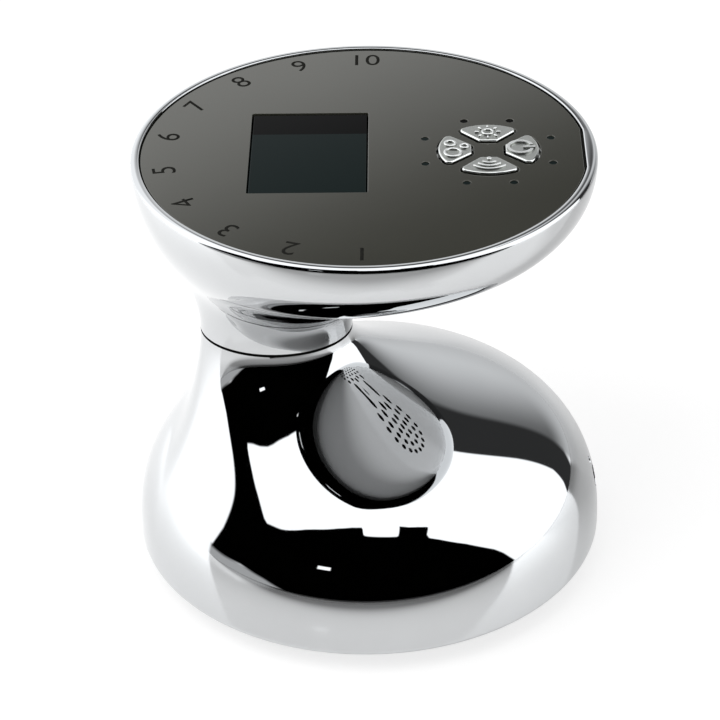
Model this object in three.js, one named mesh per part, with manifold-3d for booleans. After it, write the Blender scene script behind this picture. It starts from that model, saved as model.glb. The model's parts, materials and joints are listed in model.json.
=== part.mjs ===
// Hand-held cavitation slimming machine: a domed treatment body, a waisted neck and a bowl-shaped
// head with a round control panel. Millimetres, +Z up. The origin is the middle of the treatment
// face, which rests on the table; +X points to the open side of the finger gap and the user.
import * as THREE from 'three';
import { mergeVertices } from 'three/addons/utils/BufferGeometryUtils.js';
import Module from 'manifold-3d';

const wasm = await Module();
wasm.setup();
const { Manifold, Mesh: SolidMesh } = wasm;

// Clearances
const seatGap = 0.3; // between a piece and the piece that it rests on or passes through
const overrun = 1; // how far a cutting tool runs past the piece that it cuts

// Body skin
const bodyRadius = 55.1; // widest ring of the lower dome
const bodyWidestZ = 6.3;
const domeHeight = 37.66; // from the widest ring to the crown
const domeReachShare = 2.256; // exponent of the distance from the main axis
const domeRiseShare = 2.496; // exponent of the height
const skirtRoundnessShare = 2.54;
const baseInset = 8.1; // base opening, inside the widest ring
const wall = 2.4; // of both plated shells

// Head skin
const headRadius = 52.5;
const panelZ = 104.9; // top face of the control panel
const headWidestDrop = 0.7; // widest ring of the head, below the panel
const bowlDepth = 24.4;
const bowlRoundnessShare = 2.237;
const rimHeight = 1.15; // top of the rim above the widest ring
const rimRound = 1.6; // how far the rounded rim reaches inward

// Neck
const neckX = -20.9;
const neckHalfX = 17.7;
const neckHalfY = 14.07;
const seamZ = 59.57;
const bodyFilletBack = 8.36; // towards -X
const bodyFilletFront = 50.87; // towards +X
const bodyFilletSide = 28.17;
const bodyFilletBackShare = 1.688; // exponents of the fillet's curve
const bodyFilletFrontShare = 1.945;
const headFilletBack = 31.3;
const headFilletFront = 44.7;
const headFilletSide = 50;
const headFilletShare = 2.156;
const filletFadeShare = 5; // how late a fillet that would pass the widest ring fades out

// Seam between the two shells
const gasketThickness = 0.5;
const gasketRecess = 0.5;

// Control panel
const panelInset = 2.5; // panel's edge, inside the widest ring of the head
const panelThickness = 1.5;
const panelFlatWidth = 17; // straight stretch of the edge at +X
const panelGap = 0.35; // round the panel
const ledgeWidth = 2.2;
const ledgeThickness = 1.6;

// Display; shares are of the panel's radius
const displayBackShare = 0.246; // from the panel's middle to the display's, towards -X
const displayWidthShare = 0.533; // along X
const displayLengthShare = 0.74; // along Y
const lensRecess = 0.3; // top of the display window, below the panel face
const lensFlangeWidth = 1.8;
const lensFlangeThickness = 0.8;
const moduleMargin = 1; // display module beyond the window, all round
const moduleThickness = 2.1;

// Buttons, in a ring about the cluster's middle; shares are of the panel's radius
const clusterShare = 0.556; // from the panel's middle to the cluster's, towards +X
const petalOuterShare = 0.228;
const petalInnerReachShare = 0.078; // from the cluster's middle to the inner flat
const petalInnerHalfShare = 0.038;
const petalTipHalfShare = 0.124;
const stemReachShare = 0.152; // from the cluster's middle to the stem's axis
const petalCorner = 0.6;
const petalGap = 0.35; // shadow gap round a button
const petalProud = 1; // button top above the panel
const petalEdge = 0.35; // bevel of the button's top edge
const flangeLip = 0.9; // retaining flange beyond the button's outline
const flangeThickness = 1;
const buttonTravel = 0.8;
const stemRadius = 2;
const plungerRadius = 1.5;
const plungerEngagement = 0.5; // of the plunger in its switch, at rest
const switchWidth = 6;
const switchHeight = 2;

// Indicator lights
const dotCount = 8;
const dotRingShare = 0.304; // of the panel's radius
const dotRadius = 0.75;
const lightPinRadius = 0.45;
const lightRingWidth = 2.6;
const lightRingThickness = 1.4;

// Carrier plate under the panel and the control board under it
const carrierThickness = 2.5;
const carrierClearance = 0.5; // to the ledge opening
const pocketDepth = 1.3;
const pocketLedge = 2.5;
const headScrewInset = 9; // of each screw's axis, from the panel's edge
const headBossRadius = 3.2;
const boardThickness = 1.6;
const boardDrop = 2.8; // from the carrier plate to the control board
const controlBoardInset = 6; // from the panel's edge

// Screws
const screwShankRadius = 1.3;
const screwHeadRadius = 2.5;
const screwHeadHeight = 1.8;
const carrierScrewLength = 10.5;
const neckScrewLength = 12;
const baseScrewLength = 8;

// Speaker and its grille in the underside of the head
const speakerShare = 0.43; // of the panel's radius, from the head's middle towards +X
const speakerSideShare = 0.27; // the same, towards -Y
const speakerRadius = 10;
const speakerHeight = 4.2;
const speakerSeatHeight = 0.8;
const speakerSeatWidth = 0.9;
const foamInnerRadius = 6;
const foamOuterRadius = 8;
const grilleRingCount = 3;
const grilleHoleRadius = 0.8;
const grilleHoleGap = 1; // between the edges of two holes

// Joint of the shells inside the neck
const neckScrewInset = 6.5; // of each screw's axis, from the neck's skin along X
const neckEarRadius = 2.9;
const neckRibWidth = 3;
const neckEarHeight = 4;
const neckBossHeight = 12;
const harnessRadius = 3;
const harnessPlugWidth = 9;
const harnessPlugHeight = 5;
const grommetThickness = 4;
const grommetFlange = 2.2;

// Treatment base
const plateFaceZ = 1.2; // base plate's face above the table
const plateThickness = 3.2;
const plateChamfer = 0.8;
const sonicFaceShare = 0.415; // of the base opening's radius
const sonicEdge = 0.9; // chamfer round the sonic head's face
const sonicFlangeWidth = 2.6;
const sonicFlangeThickness = 1.2;
const sonicFloor = 2.2;
const sonicWall = 1;
const sealThickness = 0.8;
const piezoThickness = 2.6;
const piezoBore = 3;
const contactRadius = 4.5;
const contactThickness = 0.6;
const electrodeCount = 4;
const electrodeMargin = 1.3; // from the light ring's groove
const electrodeRadius = 3.5;
const electrodeHeadHeight = 0.9;
const electrodeStemRadius = 1.8;
const lightGrooveMargin = 1.1; // beyond the sonic head's flange
const lightGrooveWidth = 3;
const lightGrooveDepth = 1.4;
const ledCount = 8;
const ledHoleRadius = 1.2;
const ledRadius = 0.8;
const ledHeight = 0.9;
const ledBoardMargin = 0.8; // to the main board's posts
const baseScrewCount = 4;
const baseScrewInset = 6; // of each screw's axis, from the base opening's edge
const baseBossRadius = 3.2;
const counterboreDepth = 2.2;

// Main board and what it carries
const mainBoardZ = 9; // underside
const mainBoardInset = 5; // from the base opening's edge
const boardPostInset = 3; // of each post's axis, from the board's edge
const boardPostRadius = 2.5;
const cellShare = 0.166; // cell's radius, of the body's radius
const cellEndGap = 0.8; // from the cells' ends to the level of the screw bosses
const cellCount = 2;
const cellSideGap = 1.2; // between two cells
const batteryClearance = 4; // from the harness plug to the cradle
const partGap = 1; // between neighbours on the board
const cradleFloor = 1.2;
const cradleWall = 1.5;
const cellOverhang = 3; // of the cells, beyond each end of the cradle
const cradleGripHeight = 2.5; // of the cradle's arms above the cells' axes
const terminalRadius = 2.8;
const terminalHeight = 1.2;
const transformerWidth = 15;
const transformerLength = 13;
const transformerHeight = 12;
const transformerCoreWidth = 5;
const windingWall = 1.6;
const chokeShare = 0.127; // coil's radius, of the body's radius
const chokeBore = 3;
const chokeHeight = 7;
const chokeRound = 1.2;
const sinkWidth = 5;
const sinkLength = 24;
const sinkHeight = 14;
const sinkBackThickness = 1.5;
const sinkFinCount = 6;
const sinkFinThickness = 1.2;

// Charging port and charge light, on the +X side
const jackAxisZ = 15.5;
const jackLength = 10;
const jackWidth = 7;
const jackHeight = 6.4;
const jackStandWidth = 3;
const jackNoseRadius = 2.5;
const jackBoreRadius = 1.8;
const jackPinRadius = 0.6;
const jackBoreDepth = 7;
const jackInset = 6.2; // from the body's outer skin to the front of the jack's housing
const noseInset = 0.6; // of the nose's front edge in its hole
const lightPipeRadius = 0.65;
const lightPipeLength = 8;
const lightPipeBlock = 2.4;
const lightPipeDrop = 0.3; // of its tip below the body's skin

// Facets
const skinSideCount = 48;
const domeRingCount = 10;
const bowlRingCount = 9;
const liningRingCount = 6;
const skirtRingCount = 3;
const rimRingCount = 3;
const roundSideCount = 28;
const smallSideCount = 10;
const holeSideCount = 6;
const cornerStepCount = 2;
const arcStepCount = 5;

// Sizes that follow from the ones above, across and then in height
const baseOpeningRadius = bodyRadius - baseInset;
const panelRadius = headRadius - panelInset;
const displayX = -panelRadius * displayBackShare;
const displayWidth = panelRadius * displayWidthShare;
const displayLength = panelRadius * displayLengthShare;
const clusterX = panelRadius * clusterShare;
const petalOuterRadius = panelRadius * petalOuterShare;
const petalInnerReach = panelRadius * petalInnerReachShare;
const petalInnerHalf = panelRadius * petalInnerHalfShare;
const petalTipHalf = panelRadius * petalTipHalfShare;
const stemReach = panelRadius * stemReachShare;
const dotRingRadius = panelRadius * dotRingShare;
const headScrewReach = panelRadius - headScrewInset;
const neckScrewReach = neckHalfX - neckScrewInset;
const controlBoardRadius = panelRadius - controlBoardInset;
const speakerX = panelRadius * speakerShare;
const speakerY = -panelRadius * speakerSideShare;
const grillePitch = 2 * grilleHoleRadius + grilleHoleGap;
const sonicFaceRadius = baseOpeningRadius * sonicFaceShare;
const sonicFlangeRadius = sonicFaceRadius + sonicWall + sonicFlangeWidth;
const lightGrooveInner = sonicFlangeRadius + lightGrooveMargin;
const electrodeReach = lightGrooveInner + lightGrooveWidth + electrodeMargin + electrodeRadius;
const baseScrewReach = baseOpeningRadius - baseScrewInset;
const mainBoardRadius = baseOpeningRadius - mainBoardInset;
const boardPostReach = mainBoardRadius - boardPostInset;
const ledBoardInner = sonicFlangeRadius + 2 * seatGap;
const ledBoardOuter = boardPostReach - boardPostRadius - ledBoardMargin;
const cellRadius = bodyRadius * cellShare;
const cellPitch = 2 * cellRadius + cellSideGap;
const cellLength = 2 * (baseScrewReach * Math.SQRT1_2 - baseBossRadius - cellEndGap);
const cradleLength = cellLength - 2 * cellOverhang;
const chokeRadius = bodyRadius * chokeShare;
const rimZ = panelZ - headWidestDrop;
const panelBottomZ = panelZ - panelThickness;
const ledgeZ = panelBottomZ - seatGap;
const ledgeInnerRadius = panelRadius - ledgeWidth;
const panelFlatX = Math.sqrt(panelRadius ** 2 - (panelFlatWidth / 2) ** 2);
const flangeTopZ = panelBottomZ - seatGap;
const flangeBottomZ = flangeTopZ - flangeThickness;
const lensFlangeTopZ = panelBottomZ - seatGap;
const lensFlangeBottomZ = lensFlangeTopZ - lensFlangeThickness;
const moduleTopZ = lensFlangeBottomZ - seatGap;
const moduleBottomZ = moduleTopZ - moduleThickness;
const carrierTopZ = Math.min(
  flangeBottomZ - buttonTravel - seatGap,
  moduleBottomZ - seatGap + pocketDepth,
  panelBottomZ - 2 * seatGap - screwHeadHeight,
);
const carrierBottomZ = carrierTopZ - carrierThickness;
const boardTopZ = carrierBottomZ - boardDrop;
const boardBottomZ = boardTopZ - boardThickness;
const headBossTopZ = boardBottomZ - seatGap;
const switchBottomZ = boardTopZ + seatGap;
const switchTopZ = switchBottomZ + switchHeight;
const plungerBottomZ = switchTopZ - plungerEngagement;
const plungerTopZ = switchTopZ + buttonTravel + seatGap;
const stemBottomZ = plungerTopZ + seatGap;
const lightRingBottomZ = carrierTopZ + seatGap;
const gasketTopZ = seamZ + gasketThickness / 2;
const gasketBottomZ = seamZ - gasketThickness / 2;
const plateTopZ = plateFaceZ + plateThickness;
const sealBottomZ = plateTopZ + seatGap;
const sonicFlangeZ = sealBottomZ + sealThickness + seatGap;
const sonicTopZ = sonicFlangeZ + sonicFlangeThickness;
const ledBoardZ = plateTopZ + seatGap;
const mainBoardTopZ = mainBoardZ + boardThickness;
const onBoardZ = mainBoardTopZ + seatGap;

// Finishes
const finish = (color, metalness, roughness, opacity = 1) =>
  new THREE.MeshStandardMaterial({ color, metalness, roughness, opacity, transparent: opacity < 1 });
const finishes = {
  chrome: finish(0xe6e8ea, 1, 0.05),
  buttonChrome: finish(0xb9bcbc, 1, 0.22),
  panel: finish(0x55554f, 0.6, 0.15),
  lens: finish(0x0b1016, 0.1, 0.06),
  displayGlass: finish(0x10161c, 0.2, 0.2),
  blackPlastic: finish(0x17181a, 0, 0.5),
  whitePlastic: finish(0xe9eaec, 0, 0.35),
  frosted: finish(0xdfe6ea, 0, 0.4),
  circuit: finish(0x1d5a34, 0.1, 0.5),
  rubber: finish(0x111112, 0, 0.85),
  steel: finish(0x9a9da0, 1, 0.35),
  stainless: finish(0xc6c9cc, 1, 0.25),
  brass: finish(0xb7913f, 1, 0.35),
  ceramic: finish(0xcfc8ae, 0, 0.6),
  copper: finish(0xb06a3a, 1, 0.35),
  ferrite: finish(0x35363a, 0.1, 0.6),
  aluminium: finish(0xbfc3c6, 1, 0.4),
  cellWrap: finish(0x2f63a8, 0, 0.35),
};

// Conversions between drawn geometry and solids that can be cut and joined
function toSolid(geometry) {
  geometry.deleteAttribute('normal');
  geometry.deleteAttribute('uv');
  const merged = mergeVertices(geometry, 1e-5);
  const vertProperties = new Float32Array(merged.attributes.position.array);
  const triVerts = new Uint32Array(merged.index.array);
  return new Manifold(new SolidMesh({ numProp: 3, vertProperties, triVerts }));
}

function toGeometry(solid) {
  const { vertProperties, triVerts } = solid.getMesh();
  const geometry = new THREE.BufferGeometry();
  geometry.setAttribute('position', new THREE.BufferAttribute(vertProperties, 3));
  geometry.setIndex(new THREE.BufferAttribute(triVerts, 1));
  geometry.computeVertexNormals();
  return geometry;
}

// Basic solids, all placed by their lower face
function extrudeShape(shape, bottomZ, topZ, bevel = 0) {
  const geometry = new THREE.ExtrudeGeometry(shape, {
    depth: topZ - bottomZ - bevel,
    bevelEnabled: bevel > 0,
    bevelThickness: bevel,
    bevelSize: bevel,
    bevelOffset: -bevel,
    bevelSegments: 1,
  });
  geometry.translate(0, 0, bottomZ);
  return toSolid(geometry);
}

function disc(x, y, radius, bottomZ, topZ, sides = roundSideCount) {
  const geometry = new THREE.CylinderGeometry(radius, radius, topZ - bottomZ, sides);
  geometry.rotateX(Math.PI / 2);
  geometry.translate(x, y, (topZ + bottomZ) / 2);
  return toSolid(geometry);
}

function block(x, y, width, length, bottomZ, topZ) {
  const geometry = new THREE.BoxGeometry(width, length, topZ - bottomZ);
  geometry.translate(x, y, (topZ + bottomZ) / 2);
  return toSolid(geometry);
}

// A turned piece about a vertical axis: [radius, height] pairs from the axis, or round a bore
function turned(x, y, profile, sides = roundSideCount) {
  const points = profile.map(([radius, z]) => new THREE.Vector2(radius, z));
  if (points[0].x > 0) points.push(points[0].clone());
  const geometry = new THREE.LatheGeometry(points, sides);
  geometry.rotateX(Math.PI / 2);
  geometry.translate(x, y, 0);
  return toSolid(geometry);
}

function ring(x, y, innerRadius, outerRadius, bottomZ, topZ, sides = roundSideCount) {
  return turned(x, y, [
    [innerRadius, bottomZ],
    [outerRadius, bottomZ],
    [outerRadius, topZ],
    [innerRadius, topZ],
  ], sides);
}

// A round bar along +X
function barAlongX(fromX, toX, y, z, radius, sides = smallSideCount) {
  const geometry = new THREE.CylinderGeometry(radius, radius, toX - fromX, sides);
  geometry.rotateZ(Math.PI / 2);
  geometry.translate((fromX + toX) / 2, y, z);
  return toSolid(geometry);
}

// A round bar along +Y
function barAlongY(fromY, toY, x, z, radius, sides = roundSideCount) {
  const geometry = new THREE.CylinderGeometry(radius, radius, toY - fromY, sides);
  geometry.translate(x, (fromY + toY) / 2, z);
  return toSolid(geometry);
}

const joined = (solids) => Manifold.union(solids);
const around = (count, startAngle, make) =>
  Array.from({ length: count }, (_, k) => make(startAngle + (2 * Math.PI * k) / count, k));
const polar = (radius, angle) => [radius * Math.cos(angle), radius * Math.sin(angle)];

// Skins: each half of the outside is a dome about the main axis that a fillet draws out into
// the oval neck. A point is given by its direction about the neck's axis and its distance from it.
const bodySkin = {
  up: 1,
  radius: bodyRadius,
  widestZ: bodyWidestZ,
  height: domeHeight,
  reachPower: domeReachShare,
  risePower: domeRiseShare,
  neckHalfX,
  neckHalfY,
  filletBack: bodyFilletBack,
  filletFront: bodyFilletFront,
  filletSide: bodyFilletSide,
  filletBackPower: bodyFilletBackShare,
  filletFrontPower: bodyFilletFrontShare,
};
const headSkin = {
  up: -1,
  radius: headRadius,
  widestZ: rimZ,
  height: bowlDepth,
  reachPower: bowlRoundnessShare,
  risePower: bowlRoundnessShare,
  neckHalfX,
  neckHalfY,
  filletBack: headFilletBack,
  filletFront: headFilletFront,
  filletSide: headFilletSide,
  filletBackPower: headFilletShare,
  filletFrontPower: headFilletShare,
};

// The inner face of a shell, one wall inside its skin
const lining = (skin) => ({
  ...skin,
  radius: skin.radius - wall,
  height: skin.height - wall,
  neckHalfX: skin.neckHalfX - wall,
  neckHalfY: skin.neckHalfY - wall,
  filletBack: skin.filletBack + wall,
  filletFront: skin.filletFront + wall,
  filletSide: skin.filletSide + wall,
});

function neckReach(skin, angle) {
  const { neckHalfX: a, neckHalfY: b } = skin;
  return (a * b) / Math.hypot(b * Math.cos(angle), a * Math.sin(angle));
}

// Distance from the neck's axis to a circle about the main axis
function circleReach(radius, angle) {
  const across = neckX * Math.sin(angle);
  return -neckX * Math.cos(angle) + Math.sqrt(radius ** 2 - across ** 2);
}

function crownZ(skin, distance) {
  const share = Math.min(distance / skin.radius, 1);
  return skin.widestZ + skin.up * skin.height * (1 - share ** skin.reachPower) ** (1 / skin.risePower);
}

function skinZ(skin, angle, reach) {
  const cos = Math.cos(angle);
  const sin = Math.sin(angle);
  const neck = neckReach(skin, angle);
  const front = (1 + cos) / 2;
  const lengthwise = skin.filletBack * (1 - front) + skin.filletFront * front;
  const fillet = lengthwise * cos ** 2 + skin.filletSide * sin ** 2;
  const power = skin.filletBackPower * (1 - front) + skin.filletFrontPower * front;
  const rim = circleReach(skin.radius, angle);
  const drawnAt = (along) => {
    const left = 1 - Math.min(Math.max(along / fillet, 0), 1);
    return 1 - (1 - left ** power) ** (1 / power);
  };
  const share = (reach - neck) / (rim - neck);
  const drawn = drawnAt(reach - neck) - drawnAt(rim - neck) * share ** filletFadeShare;
  const distance = Math.hypot(neckX + reach * cos, reach * sin);
  const neckDistance = Math.hypot(neckX + neck * cos, neck * sin);
  return crownZ(skin, distance) + (seamZ - crownZ(skin, neckDistance)) * drawn;
}

function skinZAt(skin, x, y) {
  return skinZ(skin, Math.atan2(y, x - neckX), Math.hypot(x - neckX, y));
}

// Directions about the neck's axis that share the widest ring out evenly
const skinAngles = around(skinSideCount, 0, (turn) =>
  Math.atan2(Math.sin(turn), Math.cos(turn) - neckX / bodyRadius));
const ringOf = (place) => skinAngles.map((angle) => {
  const [reach, z] = place(angle);
  return new THREE.Vector3(neckX + reach * Math.cos(angle), reach * Math.sin(angle), z);
});
const circleRing = (radius, z) => ringOf((angle) => [circleReach(radius, angle), z]);

// Rings from the neck out to the widest ring, closer together at both ends
function skinRings(skin, count) {
  return Array.from({ length: count + 1 }, (_, k) => {
    const share = Math.sin((Math.PI * k) / (2 * count)) ** 2;
    return ringOf((angle) => {
      const neck = neckReach(skin, angle);
      const reach = neck + (circleReach(skin.radius, angle) - neck) * share;
      return [reach, skinZ(skin, angle, reach)];
    });
  });
}

// A closed solid through rings of equal count, capped at both ends
function loft(rings) {
  const sides = rings[0].length;
  const ends = [rings[0], rings[rings.length - 1]];
  const centres = ends.map((end) =>
    end.reduce((sum, p) => sum.add(p), new THREE.Vector3()).divideScalar(sides));
  const points = [...rings.flat(), ...centres];
  const index = [];
  const firstCentre = points.length - 2;
  const lastRing = (rings.length - 1) * sides;
  for (let side = 0; side < sides; side += 1) {
    const next = (side + 1) % sides;
    for (let row = 0; row < rings.length - 1; row += 1) {
      const a = row * sides + side;
      const b = row * sides + next;
      index.push(a, b, b + sides, a, b + sides, a + sides);
    }
    index.push(firstCentre, next, side, firstCentre + 1, lastRing + side, lastRing + next);
  }
  const geometry = new THREE.BufferGeometry();
  const positions = new Float32Array(points.flatMap((p) => p.toArray()));
  geometry.setAttribute('position', new THREE.BufferAttribute(positions, 3));
  geometry.setIndex(index);
  return toSolid(geometry);
}

const lifted = (points, z) => points.map((p) => new THREE.Vector3(p.x, p.y, z));

// Skirt below the body's widest ring, tucked in to the base opening
function skirtRings(radius, height) {
  const end = (1 - (baseOpeningRadius / radius) ** skirtRoundnessShare) ** (1 / skirtRoundnessShare);
  return Array.from({ length: skirtRingCount }, (_, k) => {
    const share = (end * (k + 1)) / skirtRingCount;
    const reach = radius * (1 - share ** skirtRoundnessShare) ** (1 / skirtRoundnessShare);
    return circleRing(reach, bodyWidestZ - height * share);
  });
}

// Volumes that the shells are cut from, and the hollows inside them; lofts run from the base up
const bodyRings = (skin, count) => [
  ...skirtRings(skin.radius, bodyWidestZ - (bodyRadius - skin.radius)).reverse(),
  ...skinRings(skin, count).reverse(),
];
const bodyVolume = loft(bodyRings(bodySkin, domeRingCount));
const bodyLiningRings = bodyRings(lining(bodySkin), liningRingCount);
const bodyHollow = loft([
  lifted(bodyLiningRings[0], -overrun),
  ...bodyLiningRings,
  lifted(bodyLiningRings[bodyLiningRings.length - 1], seamZ + overrun),
]);

// Rounded rim of the head, from the widest ring up and in
const rimRings = Array.from({ length: rimRingCount }, (_, k) => {
  const turn = (Math.PI * (k + 1)) / (2 * rimRingCount);
  const radius = headRadius - rimRound * (1 - Math.cos(turn));
  return circleRing(radius, rimZ + rimHeight * Math.sin(turn));
});
const headVolume = loft([...skinRings(headSkin, bowlRingCount), ...rimRings]);
const headLiningRings = skinRings(lining(headSkin), liningRingCount);
const ledgeBottomZ = ledgeZ - ledgeThickness;
const headHollow = loft([lifted(headLiningRings[0], seamZ - overrun), ...headLiningRings])
  .subtract(ring(0, 0, ledgeInnerRadius, headRadius, ledgeBottomZ, rimZ + overrun, skinSideCount));

// Outline of the panel, and of the pocket that it lies in: a circle with one flat
function panelShape(grow) {
  const radius = panelRadius + grow;
  const half = Math.acos((panelFlatX + grow) / radius);
  const step = (2 * (Math.PI - half)) / skinSideCount;
  return new THREE.Shape(Array.from({ length: skinSideCount + 1 }, (_, k) =>
    new THREE.Vector2(...polar(radius, half + step * k))));
}

// Outline of a button on the +Y side of the cluster, grown all round
function petalPoints(grow) {
  const side = new THREE.Vector2(
    petalTipHalf - petalInnerHalf,
    Math.sqrt(petalOuterRadius ** 2 - petalTipHalf ** 2) - petalInnerReach,
  ).normalize();
  const inset = new THREE.Vector2(
    petalInnerHalf - side.y * petalCorner,
    petalInnerReach + side.x * petalCorner,
  );
  const inner = inset.clone().addScaledVector(
    side, (petalInnerReach + petalCorner - inset.y) / side.y);
  const coreRadius = petalOuterRadius - petalCorner;
  const along = inset.dot(side);
  const outer = inset.clone().addScaledVector(
    side, -along + Math.sqrt(along ** 2 - inset.lengthSq() + coreRadius ** 2));
  const sideAngle = Math.atan2(-side.x, side.y);
  const arc = (centre, radius, from, to, steps) => Array.from({ length: steps + 1 }, (_, k) => {
    const angle = from + ((to - from) * k) / steps;
    return [centre.x + radius * Math.cos(angle), centre.y + radius * Math.sin(angle)];
  });
  const reach = petalCorner + grow;
  const half = [
    ...arc(inner, reach, -Math.PI / 2, sideAngle, cornerStepCount),
    ...arc(outer, reach, sideAngle, outer.angle(), cornerStepCount),
    ...arc(new THREE.Vector2(), coreRadius + reach, outer.angle(), Math.PI / 2, arcStepCount).slice(1),
  ];
  const mirrored = half.slice(0, -1).reverse().map(([x, y]) => [-x, y]);
  return [...half, ...mirrored];
}

// The four buttons, by the quarter turn of each about the cluster's middle
const buttonTurns = { light: 0, cavitation: 1, radio: 2, power: 3 };
const quarter = (turns) => (turns * Math.PI) / 2;
function clusterPoint(x, y, turns) {
  const cos = Math.cos(quarter(turns));
  const sin = Math.sin(quarter(turns));
  return [clusterX + x * cos - y * sin, x * sin + y * cos];
}
function petalPath(grow, turns, PathClass) {
  const points = petalPoints(grow).map(([x, y]) => new THREE.Vector2(...clusterPoint(x, y, turns)));
  return new PathClass(points);
}
function ovalPath(x, y, halfX, halfY, sides, PathClass = THREE.Path) {
  return new PathClass(around(sides, 0, (angle) =>
    new THREE.Vector2(x + halfX * Math.cos(angle), y + halfY * Math.sin(angle))));
}
const circlePath = (x, y, radius, sides, PathClass) => ovalPath(x, y, radius, radius, sides, PathClass);
function rectanglePath(x, y, width, length, PathClass) {
  const [left, right, low, high] = [x - width / 2, x + width / 2, y - length / 2, y + length / 2];
  return new PathClass([
    new THREE.Vector2(left, low),
    new THREE.Vector2(right, low),
    new THREE.Vector2(right, high),
    new THREE.Vector2(left, high),
  ]);
}
const dotPlaces = around(dotCount, Math.PI / dotCount, (angle) => {
  const [x, y] = polar(dotRingRadius, angle);
  return [clusterX + x, y];
});
const headScrewPlaces = around(4, Math.PI / 4, (angle) => polar(headScrewReach, angle));
const neckScrewPlaces = [[neckX - neckScrewReach, 0], [neckX + neckScrewReach, 0]];
const baseScrewPlaces = around(baseScrewCount, Math.PI / baseScrewCount, (angle) =>
  polar(baseScrewReach, angle));
const holeRadius = screwShankRadius + seatGap;

// Pieces: each function returns the closed solid of one piece
const group = new THREE.Group();
function add(name, material, solid) {
  const mesh = new THREE.Mesh(toGeometry(solid), finishes[material]);
  mesh.name = name;
  group.add(mesh);
}

// Screw with its head up, or down where the length is negative
function screw(x, y, headSeatZ, length) {
  const down = Math.sign(length);
  const shank = [headSeatZ - length, headSeatZ].sort((p, q) => p - q);
  const head = [headSeatZ, headSeatZ + down * screwHeadHeight].sort((p, q) => p - q);
  return joined([
    disc(x, y, screwShankRadius, ...shank, smallSideCount),
    disc(x, y, screwHeadRadius, ...head, smallSideCount),
  ]);
}

// Head shell
const innerHeadSkin = lining(headSkin);
const speakerSeatZ = speakerSeatHeight + Math.max(...around(smallSideCount, 0, (angle) => {
  const [x, y] = polar(speakerRadius, angle);
  return skinZAt(innerHeadSkin, speakerX + x, speakerY + y);
}));
function headShell() {
  const neckTopZ = seamZ + neckEarHeight + overrun;
  const bosses = headScrewPlaces.map(([x, y]) =>
    disc(x, y, headBossRadius, seamZ, headBossTopZ, smallSideCount));
  const ears = neckScrewPlaces.flatMap(([x]) => neckEar(x, gasketTopZ, neckTopZ - overrun));
  const seat = ring(
    speakerX, speakerY, speakerRadius - speakerSeatWidth, speakerRadius, seamZ, speakerSeatZ);
  const inside = joined([...bosses, ...ears, seat]).intersect(headVolume);
  const pocket = extrudeShape(panelShape(panelGap), ledgeZ, rimZ + rimHeight + overrun);
  const holes = [
    ...headScrewPlaces.map(([x, y]) =>
      disc(x, y, holeRadius, carrierTopZ - carrierScrewLength - seatGap, rimZ, smallSideCount)),
    ...neckScrewPlaces.map(([x, y]) =>
      disc(x, y, holeRadius, seamZ - overrun, neckTopZ + overrun, smallSideCount)),
    ...grillePlaces().map(([x, y]) =>
      disc(x, y, grilleHoleRadius, seamZ, speakerSeatZ, holeSideCount)),
    disc(neckX, 0, neckHalfX + overrun, seamZ - overrun, gasketTopZ),
  ];
  return headVolume.subtract(headHollow).add(inside).subtract(joined([pocket, ...holes]));
}
function grillePlaces() {
  const rings = Array.from({ length: grilleRingCount }, (_, k) => {
    const count = 6 * (k + 1);
    return around(count, 0, (angle) => polar(grillePitch * (k + 1), angle));
  });
  return [[0, 0], ...rings.flat()].map(([x, y]) => [speakerX + x, speakerY + y]);
}
// Screw ear inside the neck, with the rib that ties it to the wall
function neckEar(x, bottomZ, topZ) {
  const out = Math.sign(x - neckX);
  const ribEndX = neckX + out * (neckHalfX - wall / 2);
  return [
    disc(x, 0, neckEarRadius, bottomZ, topZ, smallSideCount),
    block((x + ribEndX) / 2, 0, Math.abs(ribEndX - x), neckRibWidth, bottomZ, topZ),
  ];
}

// Body shell
const jackFrontX = bodyRadius - jackInset;
function bodyShell() {
  const bossBottomZ = plateTopZ + seatGap;
  const bosses = baseScrewPlaces.map(([x, y]) =>
    disc(x, y, baseBossRadius, bossBottomZ, bodyWidestZ + domeHeight, smallSideCount));
  const ears = neckScrewPlaces.flatMap(([x]) =>
    neckEar(x, gasketBottomZ - neckBossHeight, gasketBottomZ));
  const inside = joined([...bosses, ...ears]).intersect(bodyVolume);
  const screwTopZ = plateFaceZ + counterboreDepth + baseScrewLength;
  const screwEndZ = gasketTopZ + neckEarHeight - neckScrewLength - seatGap;
  const holes = [
    ...baseScrewPlaces.map(([x, y]) =>
      disc(x, y, holeRadius, 0, screwTopZ, smallSideCount)),
    ...neckScrewPlaces.map(([x, y]) =>
      disc(x, y, holeRadius, screwEndZ, seamZ + overrun, smallSideCount)),
    disc(neckX, 0, neckHalfX + overrun, gasketBottomZ, seamZ + overrun),
    barAlongX(jackBackX, bodyRadius + overrun, 0, jackAxisZ, jackNoseRadius + seatGap, 24),
    barAlongX(jackBackX, bodyRadius + overrun, 0, lightPipeZ, lightPipeRadius + seatGap),
  ];
  return bodyVolume.subtract(bodyHollow).add(inside).subtract(joined(holes));
}

// Seam gasket, set back from the skins
function seamGasket() {
  const oval = (inset, PathClass) =>
    ovalPath(neckX, 0, neckHalfX - inset, neckHalfY - inset, skinSideCount, PathClass);
  const shape = oval(gasketRecess, THREE.Shape);
  shape.holes.push(oval(wall, THREE.Path));
  return extrudeShape(shape, gasketBottomZ, gasketTopZ);
}

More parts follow.
